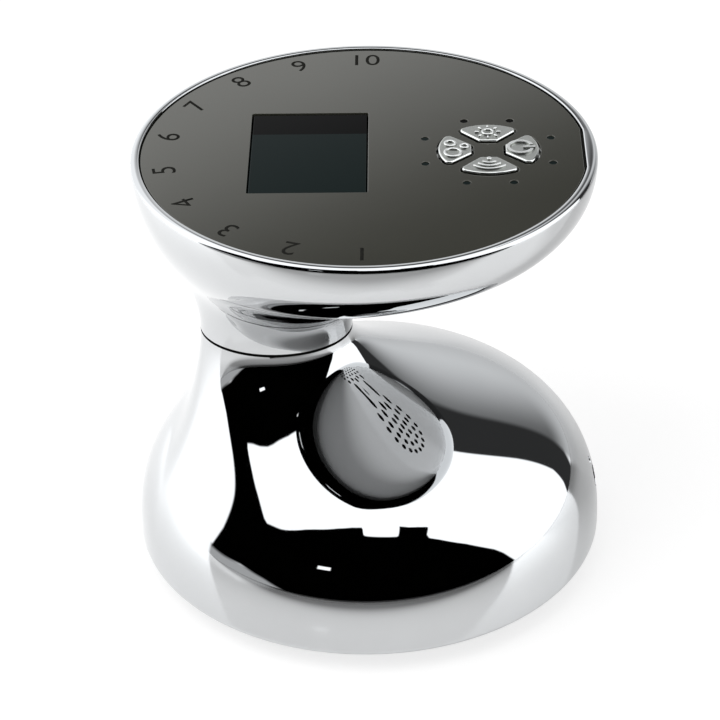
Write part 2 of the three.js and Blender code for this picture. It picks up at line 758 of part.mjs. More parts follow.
// Panel, display and carrier
function controlPanel() {
  const shape = panelShape(0);
  shape.holes.push(rectanglePath(displayX, 0, displayWidth, displayLength, THREE.Path));
  shape.holes.push(...Object.values(buttonTurns).map((turns) => petalPath(petalGap, turns, THREE.Path)));
  shape.holes.push(...dotPlaces.map(([x, y]) => circlePath(x, y, dotRadius, smallSideCount)));
  return extrudeShape(shape, panelBottomZ, panelZ);
}
function displayWindow() {
  const upper = block(
    displayX, 0, displayWidth - 2 * seatGap, displayLength - 2 * seatGap,
    lensFlangeBottomZ, panelZ - lensRecess);
  const flange = block(
    displayX, 0, displayWidth + 2 * lensFlangeWidth, displayLength + 2 * lensFlangeWidth,
    lensFlangeBottomZ, lensFlangeTopZ);
  return joined([upper, flange]);
}
const moduleWidth = displayWidth + 2 * moduleMargin;
const moduleLength = displayLength + 2 * moduleMargin;
function displayModule() {
  return block(displayX, 0, moduleWidth, moduleLength, moduleBottomZ, moduleTopZ);
}
function panelCarrier() {
  const plate = disc(0, 0, ledgeInnerRadius - carrierClearance, carrierBottomZ, carrierTopZ);
  const tubes = headScrewPlaces.map(([x, y]) =>
    disc(x, y, headBossRadius, boardTopZ + seatGap, carrierBottomZ + overrun / 2, smallSideCount));
  const pocketFloorZ = moduleBottomZ - seatGap;
  const cuts = [
    block(displayX, 0, moduleWidth + 2 * seatGap, moduleLength + 2 * seatGap, pocketFloorZ, panelZ),
    block(displayX, 0, moduleWidth - 2 * pocketLedge, moduleLength - 2 * pocketLedge, boardTopZ, panelZ),
    ...headScrewPlaces.map(([x, y]) => disc(x, y, holeRadius, boardTopZ, panelZ, smallSideCount)),
    ...Object.values(buttonTurns).map((turns) =>
      disc(...clusterPoint(0, stemReach, turns), stemRadius + seatGap, boardTopZ, panelZ, smallSideCount)),
  ];
  return joined([plate, ...tubes]).subtract(joined(cuts));
}
function indicatorLightGuide() {
  const band = ring(
    clusterX, 0, dotRingRadius - lightRingWidth / 2, dotRingRadius + lightRingWidth / 2,
    lightRingBottomZ, lightRingBottomZ + lightRingThickness);
  const pins = dotPlaces.map(([x, y]) =>
    disc(x, y, lightPinRadius, lightRingBottomZ, panelZ, holeSideCount));
  return joined([band, ...pins]);
}

// Buttons, with their switch plungers and switches
function button(turns) {
  const cap = extrudeShape(
    petalPath(0, turns, THREE.Shape), flangeBottomZ, panelZ + petalProud - petalEdge);
  const crown = extrudeShape(
    petalPath(-petalEdge, turns, THREE.Shape), flangeBottomZ, panelZ + petalProud);
  const flange = extrudeShape(petalPath(flangeLip, turns, THREE.Shape), flangeBottomZ, flangeTopZ);
  const [x, y] = clusterPoint(0, stemReach, turns);
  const stem = disc(x, y, stemRadius, stemBottomZ, flangeTopZ, smallSideCount);
  return joined([cap, crown, flange, stem]);
}
function switchPlunger(turns) {
  const [x, y] = clusterPoint(0, stemReach, turns);
  return disc(x, y, plungerRadius, plungerBottomZ, plungerTopZ, smallSideCount);
}
function pushSwitch(turns) {
  const [x, y] = clusterPoint(0, stemReach, turns);
  const boreFloorZ = plungerBottomZ - buttonTravel - seatGap / 2;
  return block(x, y, switchWidth, switchWidth, switchBottomZ, switchTopZ).subtract(
    disc(x, y, plungerRadius + seatGap, boreFloorZ, switchTopZ + overrun, smallSideCount));
}

// Control board, speaker and foam
function controlBoard() {
  const shape = circlePath(0, 0, controlBoardRadius, roundSideCount, THREE.Shape);
  shape.holes.push(...headScrewPlaces.map(([x, y]) => circlePath(x, y, holeRadius, smallSideCount)));
  return extrudeShape(shape, boardBottomZ, boardTopZ);
}
const speakerZ = speakerSeatZ + seatGap;
const speakerTopZ = speakerZ + speakerHeight;
function speaker() {
  const frameHeight = speakerHeight / 3;
  return turned(speakerX, speakerY, [
    [0, speakerZ + frameHeight / 2],
    [speakerRadius - speakerSeatWidth, speakerZ],
    [speakerRadius, speakerZ],
    [speakerRadius, speakerZ + frameHeight],
    [foamOuterRadius, speakerTopZ],
    [0, speakerTopZ],
  ]);
}
const speakerFoam = () => ring(
  speakerX, speakerY, foamInnerRadius, foamOuterRadius, speakerTopZ + seatGap, boardBottomZ - seatGap);

// Wiring through the neck
function neckHarness() {
  return joined([
    block(neckX, 0, harnessPlugWidth, harnessPlugWidth, onBoardZ, onBoardZ + harnessPlugHeight),
    disc(neckX, 0, harnessRadius, onBoardZ, boardBottomZ - seatGap, 20),
    block(neckX, 0, harnessPlugWidth, harnessPlugWidth,
      boardBottomZ - seatGap - harnessPlugHeight, boardBottomZ - seatGap),
  ]);
}
function harnessGrommet() {
  const bore = harnessRadius + seatGap;
  const outer = neckScrewReach - neckEarRadius - seatGap;
  const middleZ = gasketTopZ + neckEarHeight / 2;
  return ring(neckX, 0, bore, Math.min(outer, bore + grommetFlange),
    middleZ - grommetThickness / 2, middleZ + grommetThickness / 2);
}

// Treatment base
const electrodePlaces = around(electrodeCount, 0, (angle) => polar(electrodeReach, angle));
const sonicBodyRadius = sonicFaceRadius + sonicWall;
const ledReach = lightGrooveInner + lightGrooveWidth / 2;
const ledPlaces = around(ledCount, Math.PI / ledCount, (angle) => polar(ledReach, angle));
function basePlate() {
  const radius = baseOpeningRadius - seatGap;
  const plate = turned(0, 0, [
    [sonicBodyRadius + seatGap, plateFaceZ],
    [radius - plateChamfer, plateFaceZ],
    [radius, plateFaceZ + plateChamfer],
    [radius, plateTopZ],
    [sonicBodyRadius + seatGap, plateTopZ],
  ], skinSideCount);
  const posts = around(4, 0, (angle) =>
    disc(...polar(boardPostReach, angle), boardPostRadius, plateTopZ - overrun,
      mainBoardZ - seatGap, smallSideCount));
  const cuts = [
    ring(0, 0, lightGrooveInner, lightGrooveInner + lightGrooveWidth, plateFaceZ - overrun,
      plateFaceZ + lightGrooveDepth),
    ...ledPlaces.map(([x, y]) => disc(x, y, ledHoleRadius, 0, plateTopZ + overrun, holeSideCount)),
    ...electrodePlaces.map(([x, y]) =>
      disc(x, y, electrodeStemRadius + seatGap, 0, plateTopZ + overrun, smallSideCount)),
    ...baseScrewPlaces.flatMap(([x, y]) => [
      disc(x, y, holeRadius, 0, plateTopZ + overrun, smallSideCount),
      disc(x, y, screwHeadRadius + seatGap, 0, plateFaceZ + counterboreDepth, smallSideCount),
    ]),
  ];
  return joined([plate, ...posts]).subtract(joined(cuts));
}
const lightWindowRing = () => ring(
  0, 0, lightGrooveInner + seatGap, lightGrooveInner + lightGrooveWidth - seatGap,
  plateFaceZ, plateFaceZ + lightGrooveDepth - seatGap);
function ledBoard() {
  const board = ring(0, 0, ledBoardInner, ledBoardOuter, ledBoardZ, ledBoardZ + boardThickness);
  const leds = ledPlaces.map(([x, y]) =>
    disc(x, y, ledRadius, ledBoardZ - ledHeight, ledBoardZ + boardThickness / 2, holeSideCount));
  return joined([board, ...leds]);
}
function sonicHead() {
  return turned(0, 0, [
    [0, 0],
    [sonicFaceRadius, 0],
    [sonicBodyRadius, sonicEdge],
    [sonicBodyRadius, sonicFlangeZ],
    [sonicFlangeRadius, sonicFlangeZ],
    [sonicFlangeRadius, sonicTopZ],
    [sonicFaceRadius, sonicTopZ],
    [sonicFaceRadius, sonicFloor],
    [0, sonicFloor],
  ]);
}
const sonicSeal = () => ring(
  0, 0, sonicBodyRadius + seatGap, sonicFlangeRadius - seatGap, sealBottomZ,
  sealBottomZ + sealThickness);
const piezoZ = sonicFloor + seatGap;
const piezoDisc = () => ring(
  0, 0, piezoBore, sonicFaceRadius - 2 * seatGap, piezoZ, piezoZ + piezoThickness);
function piezoContact() {
  const contactZ = piezoZ + piezoThickness + seatGap;
  const pinZ = mainBoardZ - seatGap;
  return joined([
    disc(0, 0, contactRadius, contactZ, contactZ + contactThickness, smallSideCount),
    disc(0, 0, contactThickness, contactZ, pinZ, smallSideCount),
  ]);
}
function electrode([x, y]) {
  return turned(x, y, [
    [0, 0],
    [electrodeRadius / 2, 0],
    [electrodeRadius, electrodeHeadHeight * 0.6],
    [electrodeRadius, electrodeHeadHeight],
    [electrodeStemRadius, electrodeHeadHeight],
    [electrodeStemRadius, plateTopZ],
    [0, plateTopZ],
  ], 16);
}

// Main board and what stands on it
function mainBoard() {
  const notches = baseScrewPlaces.map(([x, y]) =>
    disc(x, y, baseBossRadius + 2 * seatGap, 0, onBoardZ, smallSideCount));
  return disc(0, 0, mainBoardRadius, mainBoardZ, mainBoardTopZ).subtract(joined(notches));
}
const cellZ = onBoardZ + cradleFloor + seatGap + cellRadius;
const cradleWidth = cellPitch * (cellCount - 1) + 2 * (cellRadius + seatGap + cradleWall);
const cradleLeftX = neckX + harnessPlugWidth / 2 + batteryClearance;
const batteryX = cradleLeftX + cradleWidth / 2;
const besidePlug = harnessPlugWidth / 2 + partGap;
const cellPlaces = Array.from({ length: cellCount }, (_, k) =>
  batteryX + cellPitch * (k - (cellCount - 1) / 2));
function batteryCell(x) {
  const bodyEnd = cellLength / 2 - terminalHeight;
  return joined([
    barAlongY(-cellLength / 2, bodyEnd, x, cellZ, cellRadius, 28),
    barAlongY(-cellLength / 2, cellLength / 2, x, cellZ, terminalRadius, smallSideCount),
  ]);
}
function batteryCradle() {
  const tray = block(batteryX, 0, cradleWidth, cradleLength, onBoardZ, cellZ + cradleGripHeight);
  const troughs = cellPlaces.map((x) =>
    barAlongY(-cradleLength, cradleLength, x, cellZ, cellRadius + seatGap, 28));
  return tray.subtract(joined(troughs));
}
function outputTransformer() {
  const transformerX = cradleLeftX - partGap - transformerWidth / 2;
  const transformerY = -besidePlug - transformerLength / 2;
  const topZ = onBoardZ + transformerHeight;
  const windowWidth = (transformerWidth - transformerCoreWidth) / 2 - windingWall;
  const core = block(transformerX, transformerY, transformerWidth, transformerLength / 2, onBoardZ, topZ);
  const winding = block(
    transformerX, transformerY, transformerCoreWidth + 2 * windowWidth, transformerLength,
    onBoardZ + windingWall, topZ - windingWall);
  return joined([core, winding]);
}
function chokeCoil() {
  const topZ = onBoardZ + chokeHeight;
  return turned(cradleLeftX - partGap - chokeRadius, besidePlug + chokeRadius, [
    [chokeBore, onBoardZ + chokeRound],
    [chokeBore + chokeRound, onBoardZ],
    [chokeRadius - chokeRound, onBoardZ],
    [chokeRadius, onBoardZ + chokeRound],
    [chokeRadius, topZ - chokeRound],
    [chokeRadius - chokeRound, topZ],
    [chokeBore + chokeRound, topZ],
    [chokeBore, topZ - chokeRound],
  ], 24);
}
function heatSink() {
  const sinkX = cradleLeftX + cradleWidth + partGap + sinkWidth / 2;
  const topZ = onBoardZ + sinkHeight;
  const backX = sinkX - sinkWidth / 2 + sinkBackThickness / 2;
  const back = block(backX, 0, sinkBackThickness, sinkLength, onBoardZ, topZ);
  const step = (sinkLength - sinkFinThickness) / (sinkFinCount - 1);
  const fins = Array.from({ length: sinkFinCount }, (_, k) =>
    block(sinkX, -sinkLength / 2 + sinkFinThickness / 2 + step * k, sinkWidth, sinkFinThickness,
      onBoardZ, topZ));
  return joined([back, ...fins]);
}

// Charging port: a housing on a stand, with a nose that fills the hole in the shell
const jackBackX = jackFrontX - jackLength;
const jackTopZ = jackAxisZ + jackHeight / 2;
const lightPipeZ = jackTopZ + seatGap + lightPipeBlock / 2;
const skinXAt = (z) => bodyRadius
  * (1 - ((z - bodyWidestZ) / domeHeight) ** domeRiseShare) ** (1 / domeReachShare);
function powerJack() {
  const noseX = skinXAt(jackAxisZ) - noseInset;
  const middleX = (jackBackX + jackFrontX) / 2;
  const standX = Math.min(middleX, mainBoardRadius - jackStandWidth / 2);
  const housing = [
    block(middleX, 0, jackLength, jackWidth, jackAxisZ - jackHeight / 2, jackTopZ),
    block(standX, 0, jackStandWidth, jackWidth, onBoardZ, jackAxisZ),
    barAlongX(middleX, noseX, 0, jackAxisZ, jackNoseRadius, 24),
  ];
  const bore = barAlongX(noseX - jackBoreDepth, noseX + overrun, 0, jackAxisZ, jackBoreRadius, 16);
  const pin = barAlongX(
    noseX - jackBoreDepth - overrun, noseX - overrun, 0, jackAxisZ, jackPinRadius, holeSideCount);
  return joined(housing).subtract(bore).add(pin);
}
function chargeLight() {
  const tipX = skinXAt(lightPipeZ) - lightPipeDrop;
  const backX = tipX - lightPipeLength;
  return joined([
    block(backX, 0, lightPipeBlock, lightPipeBlock, jackTopZ + seatGap,
      jackTopZ + seatGap + lightPipeBlock),
    barAlongX(backX, tipX, 0, lightPipeZ, lightPipeRadius, holeSideCount),
  ]);
}

// Assembly, from the head down
add('head_shell', 'chrome', headShell());
add('control_panel', 'panel', controlPanel());
add('display_window', 'lens', displayWindow());
add('display_module', 'displayGlass', displayModule());
add('panel_carrier', 'blackPlastic', panelCarrier());
add('indicator_light_guide', 'frosted', indicatorLightGuide());
Object.entries(buttonTurns).forEach(([name, turns]) => {
  add(`${name}_button`, 'buttonChrome', button(turns));
  add(`${name}_plunger`, 'whitePlastic', switchPlunger(turns));
  add(`${name}_switch`, 'blackPlastic', pushSwitch(turns));
});
add('control_board', 'circuit', controlBoard());
headScrewPlaces.forEach(([x, y], k) => {
  add(`carrier_screw_${k + 1}`, 'steel', screw(x, y, carrierTopZ + seatGap, carrierScrewLength));
});
add('speaker', 'blackPlastic', speaker());
add('speaker_foam', 'rubber', speakerFoam());
add('neck_harness', 'rubber', neckHarness());
add('harness_grommet', 'rubber', harnessGrommet());
neckScrewPlaces.forEach(([x, y], k) => {
  add(`neck_screw_${k + 1}`, 'steel', screw(x, y, gasketTopZ + neckEarHeight + seatGap, neckScrewLength));
});
add('seam_gasket', 'rubber', seamGasket());
add('body_shell', 'chrome', bodyShell());
add('base_plate', 'whitePlastic', basePlate());
add('light_window_ring', 'frosted', lightWindowRing());
add('led_board', 'circuit', ledBoard());
add('sonic_head', 'stainless', sonicHead());
add('sonic_seal', 'rubber', sonicSeal());
add('piezo_disc', 'ceramic', piezoDisc());
add('piezo_contact', 'brass', piezoContact());
electrodePlaces.forEach((place, k) => add(`rf_electrode_${k + 1}`, 'stainless', electrode(place)));
baseScrewPlaces.forEach(([x, y], k) => {
  const seatZ = plateFaceZ + counterboreDepth - seatGap;
  add(`base_screw_${k + 1}`, 'steel', screw(x, y, seatZ, -baseScrewLength));
});
add('main_board', 'circuit', mainBoard());
add('battery_cradle', 'blackPlastic', batteryCradle());
cellPlaces.forEach((x, k) => add(`battery_cell_${k + 1}`, 'cellWrap', batteryCell(x)));
add('output_transformer', 'ferrite', outputTransformer());
add('choke_coil', 'copper', chokeCoil());
add('heat_sink', 'aluminium', heatSink());
add('power_jack', 'blackPlastic', powerJack());
add('charge_light', 'frosted', chargeLight());

export default group;
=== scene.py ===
import json
import math

import bmesh
import bpy
from mathutils import Matrix, Vector


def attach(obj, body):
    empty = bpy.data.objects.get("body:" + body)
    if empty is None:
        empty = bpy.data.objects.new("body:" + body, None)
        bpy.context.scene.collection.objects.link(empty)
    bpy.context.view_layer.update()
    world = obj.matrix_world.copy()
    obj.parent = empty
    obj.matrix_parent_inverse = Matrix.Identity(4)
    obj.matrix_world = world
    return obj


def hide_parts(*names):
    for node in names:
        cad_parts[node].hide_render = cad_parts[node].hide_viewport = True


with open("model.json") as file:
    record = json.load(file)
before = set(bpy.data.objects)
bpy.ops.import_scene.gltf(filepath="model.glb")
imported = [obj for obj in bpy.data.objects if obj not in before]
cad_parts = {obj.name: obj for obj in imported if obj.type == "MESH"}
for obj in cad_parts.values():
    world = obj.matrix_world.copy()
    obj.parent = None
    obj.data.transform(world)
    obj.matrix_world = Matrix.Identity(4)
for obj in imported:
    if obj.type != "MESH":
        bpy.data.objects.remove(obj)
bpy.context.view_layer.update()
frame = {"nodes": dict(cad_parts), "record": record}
mm = 0.001  # every size below is in millimetres, the scene is in metres
tiny = 1e-6  # in metres; points nearer to each other than this are one
overrun = 1  # how far cutters run past what they cut, and posts into what they stand on
quarterTurn = math.pi / 2
print("frame loaded")


# Helpers that select, cut and round pieces, and the basic solids

def deselectAll():
    if bpy.context.object and bpy.context.object.mode != "OBJECT":
        bpy.ops.object.mode_set(mode="OBJECT")
    bpy.ops.object.select_all(action="DESELECT")


def activate(piece):
    deselectAll()
    piece.select_set(True)
    bpy.context.view_layer.objects.active = piece
    return piece


def named(name):
    piece = bpy.context.object
    piece.name = name
    piece.data.name = name
    return piece


def bakePlace(piece):
    activate(piece)
    bpy.ops.object.transform_apply(location=True, rotation=True, scale=True)
    return piece


def addModifier(piece, kind, **settings):
    modifier = piece.modifiers.new(kind.lower(), kind)
    for key, value in settings.items():
        setattr(modifier, key, value)
    activate(piece)
    bpy.ops.object.modifier_apply(modifier=modifier.name)


def carve(piece, cutter, operation="DIFFERENCE"):
    addModifier(piece, "BOOLEAN", object=cutter, operation=operation, solver="EXACT")
    bpy.data.objects.remove(cutter, do_unlink=True)


def roundEdges(piece, width, segments=3, angle=35):
    addModifier(piece, "BEVEL", width=width * mm, segments=segments, limit_method="ANGLE",
                angle_limit=math.radians(angle), harden_normals=False)


def smooth(piece, angle=30):
    activate(piece)
    bpy.ops.object.shade_smooth_by_angle(angle=math.radians(angle))
    return piece


# Rounds only the edges that a rule picks
def roundSome(piece, width, rule):
    activate(piece)
    bpy.ops.object.mode_set(mode="EDIT")
    bpy.ops.mesh.select_mode(type="EDGE")
    bpy.ops.mesh.select_all(action="DESELECT")
    mesh = bmesh.from_edit_mesh(piece.data)
    for edge in mesh.edges:
        if rule(edge):
            edge.select_set(True)
    mesh.select_flush_mode()
    bmesh.update_edit_mesh(piece.data)
    bpy.ops.mesh.bevel(offset=width * mm, segments=4, affect="EDGES")
    bpy.ops.object.mode_set(mode="OBJECT")


# Large flat faces stay flat to the eye beside their rounded edges
def smoothFlat(piece, angle=60):
    smooth(piece, angle)
    addModifier(piece, "WEIGHTED_NORMAL", mode="FACE_AREA", weight=100, keep_sharp=True)
    return piece


def joinAll(pieces):
    activate(pieces[0])
    for piece in pieces:
        piece.select_set(True)
    bpy.ops.object.join()
    return bpy.context.object


def cylinder(name, spot, radius, lowZ, highZ, sides=64):
    deselectAll()
    bpy.ops.mesh.primitive_cylinder_add(
        vertices=sides, radius=radius * mm, depth=(highZ - lowZ) * mm,
        location=(spot[0] * mm, spot[1] * mm, (lowZ + highZ) / 2 * mm))
    return bakePlace(named(name))


def box(name, spot, width, length, lowZ, highZ):
    deselectAll()
    bpy.ops.mesh.primitive_cube_add(
        size=1, location=(spot[0] * mm, spot[1] * mm, (lowZ + highZ) / 2 * mm),
        scale=(width * mm, length * mm, (highZ - lowZ) * mm))
    return bakePlace(named(name))


# The last step of a piece that was drawn in edit mode: all faces outwards, and no double points
def closeUp():
    bpy.ops.mesh.select_all(action="SELECT")
    bpy.ops.mesh.remove_doubles(threshold=tiny)
    bpy.ops.mesh.select_all(action="SELECT")
    bpy.ops.mesh.normals_make_consistent(inside=False)
    bpy.ops.object.mode_set(mode="OBJECT")


# A turned piece: a circle drawn out ring by ring along [radius, height] pairs.
# A profile that ends where it starts is a ring; others are closed by flat ends.
def turnedPiece(name, spot, profile, sides=96):
    ringShaped = profile[0] == profile[-1]
    radius, height = profile[0]
    deselectAll()
    bpy.ops.mesh.primitive_circle_add(
        vertices=sides, radius=radius * mm, location=(spot[0] * mm, spot[1] * mm, height * mm),
        fill_type="NOTHING")
    piece = bakePlace(named(name))
    bpy.ops.object.mode_set(mode="EDIT")
    bpy.ops.mesh.select_mode(type="EDGE")
    bpy.ops.mesh.select_all(action="SELECT")
    if not ringShaped:
        bpy.ops.mesh.edge_face_add()
        bpy.ops.mesh.select_all(action="SELECT")
    for nextRadius, nextHeight in profile[1:]:
        bpy.ops.mesh.extrude_region_move(
            TRANSFORM_OT_translate={"value": (0, 0, (nextHeight - height) * mm)})
        share = nextRadius / radius
        bpy.ops.transform.resize(
            value=(share, share, 1), center_override=(spot[0] * mm, spot[1] * mm, nextHeight * mm))
        radius, height = nextRadius, nextHeight
    closeUp()
    return piece


# A ring with a rectangular section
def flatRing(name, spot, inner, outer, lowZ, highZ, sides):
    return turnedPiece(name, spot, [
        (inner, lowZ), (outer, lowZ), (outer, highZ), (inner, highZ), (inner, lowZ)], sides)


def barAlongX(name, fromX, toX, z, radius, sides=48):
    deselectAll()
    bpy.ops.mesh.primitive_cylinder_add(
        vertices=sides, radius=radius * mm, depth=(toX - fromX) * mm,
        location=((fromX + toX) / 2 * mm, 0, z * mm), rotation=(0, quarterTurn, 0))
    return bakePlace(named(name))


# Places evenly round the main axis, from a start in radians
def roundPlaces(count, reach, start=0.0):
    angles = [start + 2 * math.pi * k / count for k in range(count)]
    return [(reach * math.cos(angle), reach * math.sin(angle)) for angle in angles]


# Takes off what lies past a plane
def cutAway(piece, point, normal):
    activate(piece)
    bpy.ops.object.mode_set(mode="EDIT")
    bpy.ops.mesh.select_all(action="SELECT")
    bpy.ops.mesh.bisect(
        plane_co=[place * mm for place in point], plane_no=normal, use_fill=True, clear_outer=True)
    bpy.ops.object.mode_set(mode="OBJECT")
    return piece


# The two plated shells
# Each is a closed section, worked out for every direction about the neck's axis, that a grid
# is wrapped round. The outside is a dome that a fillet draws out into the oval neck.

neck = {"x": -20.9, "halfX": 17.7, "halfY": 14.07, "seamZ": 59.57, "seamHalf": 0.36, "fade": 5}
bodySkin = {
    "up": 1, "radius": 55.1, "widestZ": 6.3, "height": 37.66, "reachPower": 2.256, "risePower": 2.496,
    "back": 8.36, "front": 50.87, "side": 28.17, "backPower": 1.688, "frontPower": 1.945, "inset": 0,
    "skirtHeight": 6.3, "skirtRoundness": 2.54, "baseRadius": 47.0, "baseTopZ": 4.4,
}
headSkin = {
    "up": -1, "radius": 52.5, "widestZ": 104.2, "height": 24.4, "reachPower": 2.237, "risePower": 2.237,
    "back": 31.3, "front": 44.7, "side": 50.0, "backPower": 2.156, "frontPower": 2.156, "inset": 0,
    "rimHeight": 1.15, "rimRound": 1.05, "pocketRadius": 50.35, "pocketFlatX": 49.62,
    "ledgeZ": 103.1, "ledgeRadius": 47.8, "ledgeThickness": 1.6, "lipRound": 0.3,
}
shellWall = 2.4
turnsAround = 288
rowCounts = {"head": 72, "body": 80, "lining": 16, "rim": 8, "lip": 4, "skirt": 12}


def lining(skin):
    inner = dict(skin)
    for key in ("radius", "height"):
        inner[key] -= shellWall
    for key in ("back", "front", "side"):
        inner[key] += shellWall
    inner["inset"] = shellWall
    return inner


# How far the oval neck reaches from its own axis, in one direction
def neckReach(skin, angle):
    a, b = neck["halfX"] - skin["inset"], neck["halfY"] - skin["inset"]
    return a * b / math.hypot(b * math.cos(angle), a * math.sin(angle))


# The same for a circle about the main axis, which the neck stands beside
def circleReach(radius, angle):
    across = neck["x"] * math.sin(angle)
    return -neck["x"] * math.cos(angle) + math.sqrt(radius ** 2 - across ** 2)


# Height of the plain dome, without its neck
def crownZ(skin, distance):
    share = min(distance / skin["radius"], 1)
    bend = (1 - share ** skin["reachPower"]) ** (1 / skin["risePower"])
    return skin["widestZ"] + skin["up"] * skin["height"] * bend


def skinZ(skin, angle, reach):
    cos, sin = math.cos(angle), math.sin(angle)
    start, end = neckReach(skin, angle), circleReach(skin["radius"], angle)
    front = (1 + cos) / 2
    fillet = (skin["back"] * (1 - front) + skin["front"] * front) * cos ** 2 + skin["side"] * sin ** 2
    power = skin["backPower"] * (1 - front) + skin["frontPower"] * front

    def drawnAt(along):
        left = 1 - min(max(along / fillet, 0), 1)
        return 1 - (1 - left ** power) ** (1 / power)

    outward = min(max((reach - start) / (end - start), 0), 1)
    drawn = drawnAt(reach - start) - drawnAt(end - start) * outward ** neck["fade"]
    here = math.hypot(neck["x"] + reach * cos, reach * sin)
    atNeck = math.hypot(neck["x"] + start * cos, start * sin)
    return crownZ(skin, here) + (neck["seamZ"] - crownZ(skin, atNeck)) * drawn


# Rows of one side of a skin, from the neck out, closer together at both ends
def skinRows(skin, angle, count):
    start, end = neckReach(skin, angle), circleReach(skin["radius"], angle)
    rows = []
    for k in range(count + 1):
        reach = start + (end - start) * math.sin(math.pi * k / (2 * count)) ** 2
        height = skinZ(skin, angle, reach)
        edge = neck["seamZ"] - skin["up"] * neck["seamHalf"]
        rows.append((reach, min(height, edge) if skin["up"] > 0 else max(height, edge)))
    return rows


def headSection(angle):
    skin = headSkin
    rows = skinRows(skin, angle, rowCounts["head"])
    for k in range(1, rowCounts["rim"] + 1):
        turn = quarterTurn * k / rowCounts["rim"]
        radius = skin["radius"] - skin["rimRound"] * (1 - math.cos(turn))
        rows.append((circleReach(radius, angle), skin["widestZ"] + skin["rimHeight"] * math.sin(turn)))
    topZ, lip = skin["widestZ"] + skin["rimHeight"], skin["lipRound"]
    pocket = circleReach(skin["pocketRadius"], angle)
    if math.cos(angle) > 0:
        pocket = min(pocket, (skin["pocketFlatX"] - neck["x"]) / math.cos(angle))
    for k in range(rowCounts["lip"] + 1):
        turn = quarterTurn * k / rowCounts["lip"]
        rows.append((pocket + lip * (1 - math.sin(turn)), topZ - lip * (1 - math.cos(turn))))
    ledge = circleReach(skin["ledgeRadius"], angle)
    rows += [(pocket, skin["ledgeZ"]), (ledge, skin["ledgeZ"]),
             (ledge, skin["ledgeZ"] - skin["ledgeThickness"])]
    return rows + skinRows(lining(skin), angle, rowCounts["lining"])[-2::-1]


def bodySection(angle):
    skin = bodySkin
    rows = skinRows(skin, angle, rowCounts["body"])
    power = skin["skirtRoundness"]
    end = (1 - (skin["baseRadius"] / skin["radius"]) ** power) ** (1 / power)
    for k in range(1, rowCounts["skirt"] + 1):
        share = end * math.sin(quarterTurn * k / rowCounts["skirt"])
        radius = skin["radius"] * (1 - share ** power) ** (1 / power)
        rows.append((circleReach(radius, angle), skin["widestZ"] - skin["skirtHeight"] * share))
    rows.append((circleReach(skin["baseRadius"], angle), skin["baseTopZ"]))
    return rows + skinRows(lining(skin), angle, rowCounts["lining"])[::-1]


# Directions are chosen so that the rows stand evenly round the widest circle
def wrappedShell(name, section, widest):
    angles = [math.atan2(math.sin(t), math.cos(t) - neck["x"] / widest)
              for t in (2 * math.pi * k / turnsAround for k in range(turnsAround))]
    sections = [section(angle) for angle in angles]
    count = len(sections[0])
    deselectAll()
    bpy.ops.mesh.primitive_grid_add(x_subdivisions=count, y_subdivisions=turnsAround, size=1)
    piece = named(name)
    places = []
    for j in range(turnsAround + 1):
        angle, rows = angles[j % turnsAround], sections[j % turnsAround]
        for i in range(count + 1):
            reach, height = rows[i % count]
            places += [(neck["x"] + reach * math.cos(angle)) * mm, reach * math.sin(angle) * mm, height * mm]
    piece.data.vertices.foreach_set("co", places)
    activate(piece)
    bpy.ops.object.mode_set(mode="EDIT")
    closeUp()
    return piece


grille = {"x": 21.5, "y": -13.5, "pitch": 2.6, "rings": 3, "firstRing": 6, "radius": 0.8, "sides": 20,
          "lowZ": 66, "topZ": 88}
port = {
    "axisZ": 15.5, "holeRadius": 2.8, "from": 44.0, "to": 58.0, "ringGap": 0.06, "ringInner": 2.3,
    "ringInset": 0.12, "pinRadius": 0.64, "pinFrom": 46.0, "pinTo": 52.82, "pinEdge": 0.2, "pinSides": 32,
    "lightZ": 20.2, "lightRadius": 0.95, "lightSides": 24, "pipeRadius": 0.7, "pipeTo": 52.72,
    "blockX": 44.722, "blockWidth": 2.4, "blockEdge": 0.12,
}


def grilleHole(x, y):
    return cylinder("grilleHole", (x, y), grille["radius"], grille["lowZ"], grille["topZ"], grille["sides"])


def portBar(name, radius):
    return barAlongX(name, port["from"], port["to"], port["axisZ"], radius)


headShell = wrappedShell("headShell", headSection, headSkin["radius"])
holes = [grilleHole(grille["x"], grille["y"])]
for ringNumber in range(1, grille["rings"] + 1):
    holes += [grilleHole(grille["x"] + x, grille["y"] + y)
              for x, y in roundPlaces(grille["firstRing"] * ringNumber, grille["pitch"] * ringNumber)]
carve(headShell, joinAll(holes))
smooth(headShell)

bodyShell = wrappedShell("bodyShell", bodySection, bodySkin["radius"])

# The socket has a black collar, cut out of the skin that it sits in, and a pin
socketRing = bodyShell.copy()
socketRing.data = bodyShell.data.copy()
socketRing.name = socketRing.data.name = "socketRing"
bpy.context.collection.objects.link(socketRing)
carve(socketRing, portBar("ringOutside", port["holeRadius"] - port["ringGap"]), "INTERSECT")
carve(socketRing, portBar("ringInside", port["ringInner"]))
socketRing.data.transform(Matrix.Translation((-port["ringInset"] * mm, 0, 0)))
smooth(socketRing)
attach(socketRing, "housing")
socketPin = barAlongX(
    "socketPin", port["pinFrom"], port["pinTo"], port["axisZ"], port["pinRadius"], port["pinSides"])
roundEdges(socketPin, port["pinEdge"], 3)
smooth(socketPin)
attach(socketPin, "housing")

